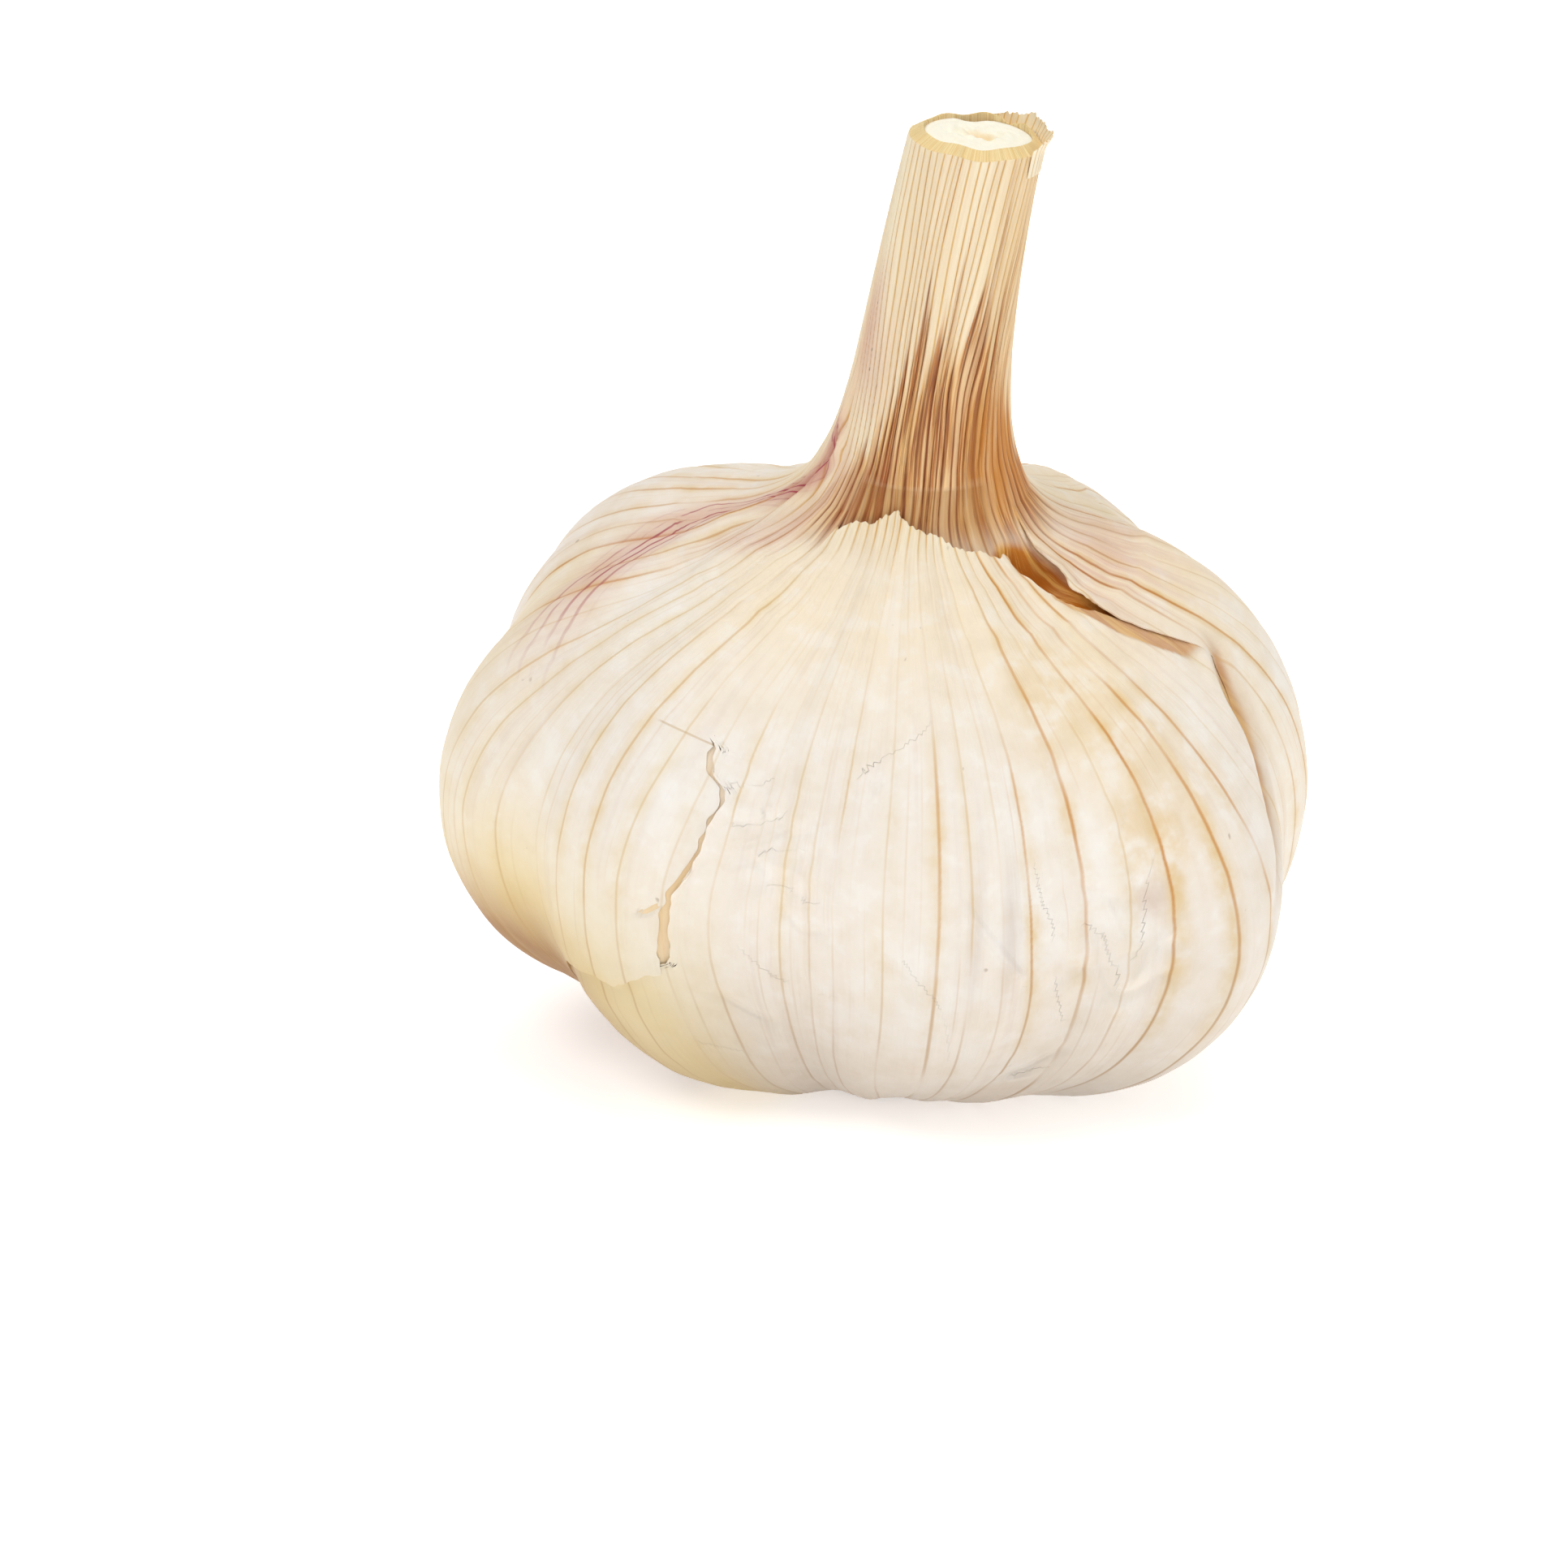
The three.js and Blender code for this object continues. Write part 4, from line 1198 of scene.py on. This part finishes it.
# The rim, by rows past the cut: the share of the way inward, and the rise in millimetres.
RIM_INWARD = ((0, 0), (1, 0.08), (8, 1), (9, 1.08), (14, 1.1))
RIM_RISE = ((0, -0.6), (1, -0.55), (7, -0.04), (8, 0), (9, -0.1), (14, -3.2))


class GARLIC_OT_bulb(Operator):
    """Grow the cloves in their inner skin and the ribbed neck, with its cut rim and root recess"""

    bl_idname = "garlic.bulb"
    bl_label = "Cloves and neck"

    def execute(self, context):
        made, across, up = start_grid("cloves_and_neck", BULB_COLUMNS, BULB_ROWS)
        row = np.round(up * BULB_ROWS)
        turn = 90 + 360 * across
        climb = along(((MOUTH_ROW, MOUTH_CLIMB), (BASE_ROW, BODY_CLIMB), (CUT_ROW, CUT_CLIMB)), row)
        point, normal = lie_on_form(turn, climb)
        number, _ = vein_place(turn, climb)
        sunk = sunk_under_skins(turn, climb) + hollow_depth(turn, climb)
        point = point + normal * (relief(turn, climb, number) - sunk)
        point[2] = np.maximum(point[2], SKIN_CLEARANCE)
        self.shape_rim(point, row, turn, context.scene.garlic_sizes.rim_width / MM)
        self.shape_recess(point, row, turn)
        set_places(made, point)
        special = {"cut": row > CUT_ROW, "wall": row > WALL_ROW}
        set_skin_values(made, turn, climb, point, "bulb", special)
        close(made)
        select(made, self.fray_rim())
        bpy.ops.object.join()
        finish_mesh(made, 50)
        dress(made, skin_material("Inner skin", context.scene.garlic_colours), "inner_skin", "bulb")
        return {"FINISHED"}

    @staticmethod
    def fray_rim():
        """The torn papery edge of the outermost leaf, which stands above the cut at the back right."""
        made, across, up = start_grid("frayed_rim", 150, 14)
        turn = 74 - 112 * across
        climb = 0 * turn + FILM_CLIMB
        point, normal = lie_on_form(turn, climb)
        ragged = 0.07 * make_waves(91, 16, 26, 0)(turn, climb)
        ragged = ragged + 0.05 * make_waves(93, 24, 90, 0)(turn, climb)
        tatters = 0.32 + ragged + 0.4 * bump(turn, 38, 22) + 0.18 * bump(turn, -8, 22)
        height = FILM_HEIGHT + tatters * window(across, 0, 0.12, 0.88, 1)
        curl = 0.12 + 0.12 * make_waves(92, 12, 9, 0.4)(turn, up) + 0.3 * bump(turn, 0, 34)
        out = 0.07 + smoothstep(up * height, 1.4, 2.9) * curl
        point = point + normal * out + np.array([[0.2], [0.04], [0.98]]) * up * height
        set_places(made, point)
        set_skin_values(made, turn, climb, point, "bulb", {"rust": 0 * turn, "aged": 0 * turn})
        thicken(made, FILM_THICKNESS)
        return made

    @staticmethod
    def shape_rim(point, row, turn, width):
        """The cut end: up over the slanting cut of the sheaths, and down inside them."""
        top_x, top_y, top_z, top_radius = NECK[2]
        angle = np.radians(turn)
        past = row - CUT_ROW
        at_cut = row == CUT_ROW
        turn = (turn + 180) % 360 - 180
        edge_x, edge_y = [np.interp(angle, angle[at_cut], place[at_cut]) for place in point[:2]]
        inner_radius = top_radius - width + 0.05 * make_waves(6, 8, 7, 0)(turn, 0 * turn)
        inner_x, inner_y = top_x + inner_radius * np.cos(angle), top_y + inner_radius * np.sin(angle)
        inward = along(RIM_INWARD, past)
        x = edge_x + (inner_x - edge_x) * inward
        y = edge_y + (inner_y - edge_y) * inward
        wave = 0.06 * make_waves(5, 12, 9, 0)(turn, 0 * turn)
        wave = wave + 0.22 * bump(turn, 82, 26) - 0.3 * bump(turn, 54, 10) + 0.35 * bump(turn, 30, 18)
        z = top_z - CUT_SLOPE * (x - top_x) + along(RIM_RISE, past) + wave
        below = point[2] + wave * smoothstep(past, -8, 0)
        point[:] = np.where(past > 0, [x, y, z], [point[0], point[1], below])

    @staticmethod
    def shape_recess(point, row, turn):
        """The lining of the root recess, from its roof out to the mouth."""
        angle = np.radians(turn)
        at_mouth = row == MOUTH_ROW
        mouth = point[:, at_mouth]
        mouth_radius = np.interp(turn, turn[at_mouth], np.hypot(mouth[0], mouth[1]))
        mouth_z = np.interp(turn, turn[at_mouth], mouth[2])
        share = row / MOUTH_ROW
        spread = smoothstep(share, 0.33, 1)
        radius = RECESS_RADIUS * np.minimum(share * 3, 1) + (mouth_radius - RECESS_RADIUS) * spread
        z = RECESS_ROOF + (mouth_z - RECESS_ROOF) * spread
        point[:] = np.where(row < MOUTH_ROW, [radius * np.cos(angle), radius * np.sin(angle), z], point)


# The pith's grid: the share of its rows that makes the wall, the wall's depth below the top and
# its height, and the gap round it.
PITH_WALL, PITH_DROP, PITH_DEPTH, PITH_GAP = 0.3, 1.2, 6.0, 0.08


class GARLIC_OT_stalk(Operator):
    """Make the white pith of the cut flower stalk"""

    bl_idname = "garlic.stalk"
    bl_label = "Pith"

    def execute(self, context):
        made, across, up = start_grid("pith", 160, 60)
        angle = 2 * math.pi * across
        degrees = np.degrees(angle)
        top_x, top_y, top_z, top_radius = NECK[2]
        share = np.clip((1 - up) / (1 - PITH_WALL), 0, 1)
        radius = (top_radius - context.scene.garlic_sizes.rim_width / MM - PITH_GAP) * share
        x = radius * np.cos(angle)
        notch = 1.3 * bump(degrees, 94, 24) * smoothstep(share, 0.45, 1.0)
        y = radius * np.sin(angle) * 0.98 - notch
        bent = y + 0.35 + 0.3 * np.sin(x * 1.6)
        hollow = np.exp(-(((x - 0.2) / 0.95) ** 2) - (bent / 0.6) ** 2)
        lumps = make_waves(61, 20, 7, 3)(degrees, share) * smoothstep(share, 0.0, 0.35) * (1 - share**4)
        z = 0.12 * (1 - share**2) - 0.14 * share**6 - 0.45 * hollow + 0.1 * lumps
        wall = up < PITH_WALL
        z = np.where(wall, -PITH_DROP - PITH_DEPTH * (1 - up / PITH_WALL), z)
        point = np.array([top_x + x, top_y + y, top_z - CUT_SLOPE * x + z - 0.12])
        low_x, low_y = neck_centre(point[2])
        point[:2] += np.where(wall, [low_x - top_x, low_y - top_y], 0)
        set_places(made, point)
        set_values(made, {"hollow": np.where(wall, 0, hollow)})
        close(made)
        finish_mesh(made, 60)
        dress(made, pith_material(context.scene.garlic_colours), "pith", "flower_stalk")
        return {"FINISHED"}


# The plate's grid makes its face up to this share of the rows, and its side beyond.
PLATE_FACE, PLATE_FACE_Z, PLATE_THICKNESS = 0.75, 2.7, 1.5

# The roots stand a golden angle apart, in radians.
GOLDEN_ANGLE = 2.39996
ROOT_RADIUS, ROOT_TOP_Z, ROOT_CLEARANCE = 0.26, 3.1, 0.02

# The long root's route from top to tip, as (share, millimetres).
LONG_ROOT_Y = ((0, -4.6), (0.4, -5.8), (0.7, -7.4), (1, -9))
LONG_ROOT_Z = ((0, 2.8), (0.4, 1.2), (0.7, 0.5), (1, 0.42))
LONG_ROOT_SLANT, LONG_ROOT_RADIUS = 0.98 / 9, 0.25


class GARLIC_OT_root_plate(Operator):
    """Make the corky root plate with its dry roots"""

    bl_idname = "garlic.root_plate"
    bl_label = "Root plate"

    def execute(self, context):
        low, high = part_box("root_plate")
        plate_radius = (high.x - low.x) / 2 / MM

        def plate(angle, up):
            share = np.clip(up / PLATE_FACE, 0, 1)
            lumps = make_waves(71, 26, 9, 4)(np.degrees(angle), share)
            radius = plate_radius * share * (1 + 0.03 * lumps * share)
            z = 0.16 * lumps + 0.35 * (1 - share) - 0.25 * smoothstep(share, 0.6, 0.95)
            z = z + PLATE_FACE_Z + PLATE_THICKNESS * np.clip((up - PLATE_FACE) / (1 - PLATE_FACE), 0, 1)
            return radius * np.cos(angle), radius * np.sin(angle), z

        made = make_round("root_plate_and_roots", 96, 40, plate)
        select(made, *self.grow_roots(context.scene.garlic_sizes, plate_radius), self.long_root())
        bpy.ops.object.join()
        finish_mesh(made, 50)
        dress(made, cork_material(context.scene.garlic_colours), "root", "root_plate")
        return {"FINISHED"}

    @staticmethod
    def grow_roots(sizes, plate_radius):
        """Dry stubs in rings, each one bent and tapered, all inside the recess."""
        random = np.random.default_rng(17)
        roots = []
        for i in range(sizes.root_count):
            share = math.sqrt((i + 0.5) / sizes.root_count)
            angle = i * GOLDEN_ANGLE + random.uniform(-0.15, 0.15)
            length_mm = sizes.root_length / MM * random.uniform(0.5, 1.0)
            girth = ROOT_RADIUS * random.uniform(0.8, 1.2)
            bend = random.uniform(-0.5, 0.5)

            def stub(round_angle, up):
                thickness = girth * (1 - 0.45 * up)
                outward = plate_radius * 0.9 * share + 0.5 * share * up**1.5 * length_mm
                curl = bend * up**2
                x = outward * math.cos(angle) - curl * math.sin(angle) + thickness * np.cos(round_angle)
                y = outward * math.sin(angle) + curl * math.cos(angle) - thickness * np.sin(round_angle)
                return x, y, np.maximum(ROOT_TOP_Z - up * length_mm, ROOT_CLEARANCE)

            roots.append(make_round(f"root_{i}", 6, 5, stub))
        return roots

    @staticmethod
    def long_root():
        """The one root that sticks out in front, from under the cloves."""

        def root(round_angle, up):
            y = along(LONG_ROOT_Y, up)
            x = LONG_ROOT_SLANT * y + 0.1 * np.sin(up * 9)
            thickness = 1 - 0.3 * smoothstep(up, 0.85, 1.0)
            thickness = LONG_ROOT_RADIUS * thickness * (1 + 0.12 * np.sin(up * 23))
            z = along(LONG_ROOT_Z, up) + thickness * np.sin(round_angle)
            return x + thickness * np.cos(round_angle), y, np.maximum(z, ROOT_CLEARANCE)

        return make_round("long_root", 12, 16, root)


# Each light: its name, place, size in metres, power in watts and tint.
LIGHTS = (
    ("key", (-0.62, -0.5, 1.1), 0.6, 5.55, (1, 0.985, 0.965)),
    ("fill", (0.8, -0.65, 0.65), 1, 3.1, (1, 0.985, 0.97)),
    ("top", (0.15, 0, 1.2), 1, 4.6, (1, 1, 1)),
    ("back", (0, 0.95, 0.85), 0.9, 2.6, (1, 0.99, 0.975)),
)
CAMERA_AIM, LIGHT_AIM = Vector((-0.00665, -0.00225, 0.02066)), Vector((0, 0, 0.03))
SKY_TINT, SKY_STRENGTH = (1.0, 0.99, 0.98, 1), 0.27
FLOOR_RADIUS, FLOOR_THICKNESS = 3.0, 0.02


class GARLIC_OT_studio(Operator):
    """Set the pale floor, the soft lights and the camera"""

    bl_idname = "garlic.studio"
    bl_label = "Studio"

    def execute(self, context):
        scene = context.scene
        studio = scene.garlic_studio
        bpy.ops.mesh.primitive_circle_add(vertices=96, radius=FLOOR_RADIUS, fill_type="NGON")
        floor = bpy.context.object
        floor.name = "floor"
        with editing(floor):
            sunk = {"value": (0, 0, -FLOOR_THICKNESS)}
            bpy.ops.mesh.extrude_region_move(TRANSFORM_OT_translate=sunk)
            bpy.ops.mesh.select_all(action="SELECT")
            bpy.ops.mesh.normals_make_consistent(inside=False)
        floor.data.materials.append(floor_material(scene.garlic_colours))

        back = Vector((0, -math.cos(studio.elevation), math.sin(studio.elevation)))
        stand = CAMERA_AIM + back * studio.distance
        camera = self.aim("camera", bpy.data.cameras.new("camera"), stand, CAMERA_AIM)
        camera.data.lens = studio.lens
        camera.data.clip_start, camera.data.clip_end = 0.01, 20
        scene.camera = camera
        for name, place, size, power, tint in LIGHTS:
            light = bpy.data.lights.new(name, "AREA")
            light.shape, light.size, light.energy, light.color = "DISK", size, power, tint
            self.aim(name, light, Vector(place), LIGHT_AIM)
        scene.world = bpy.data.worlds.new("studio")
        scene.world.use_nodes = True
        sky = scene.world.node_tree.nodes["Background"]
        sky.inputs[0].default_value, sky.inputs[1].default_value = SKY_TINT, SKY_STRENGTH
        scene.view_settings.view_transform = "Standard"
        return {"FINISHED"}

    @staticmethod
    def aim(name, data, place, target):
        """A camera or a light as an object at a place, turned to its target."""
        made = bpy.data.objects.new(name, data)
        bpy.context.scene.collection.objects.link(made)
        made.location = place
        made.rotation_mode = "QUATERNION"
        made.rotation_quaternion = (target - place).to_track_quat("-Z", "Y")
        return made


class GARLIC_PT_panel(Panel):
    """Lists the steps that dress the bulb"""

    bl_idname = "GARLIC_PT_panel"
    bl_label = "Garlic bulb"
    bl_space_type = "VIEW_3D"
    bl_region_type = "UI"
    bl_category = "Garlic"

    def draw(self, context):
        for name, group in GROUPS.items():
            for setting in group.__annotations__:
                self.layout.prop(getattr(context.scene, name), setting)
        for step in STEPS:
            self.layout.operator(step.bl_idname)


STEPS = (GARLIC_OT_bulb, GARLIC_OT_stalk, GARLIC_OT_root_plate, GARLIC_OT_skins, GARLIC_OT_studio)
GROUPS = {"garlic_sizes": GarlicSizes, "garlic_colours": GarlicColours, "garlic_studio": GarlicStudio}
CLASSES = (*GROUPS.values(), *STEPS, GARLIC_PT_panel)


def register():
    for made in CLASSES:
        bpy.utils.register_class(made)
    for name, group in GROUPS.items():
        setattr(bpy.types.Scene, name, PointerProperty(type=group))


def unregister():
    for name in GROUPS:
        delattr(bpy.types.Scene, name)
    for made in reversed(CLASSES):
        bpy.utils.unregister_class(made)


def main():
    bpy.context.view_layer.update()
    register()
    bpy.ops.garlic.bulb()
    bpy.ops.garlic.stalk()
    bpy.ops.garlic.root_plate()
    bpy.ops.garlic.skins()
    bpy.ops.garlic.studio()


if __name__ == "__main__":
    main()
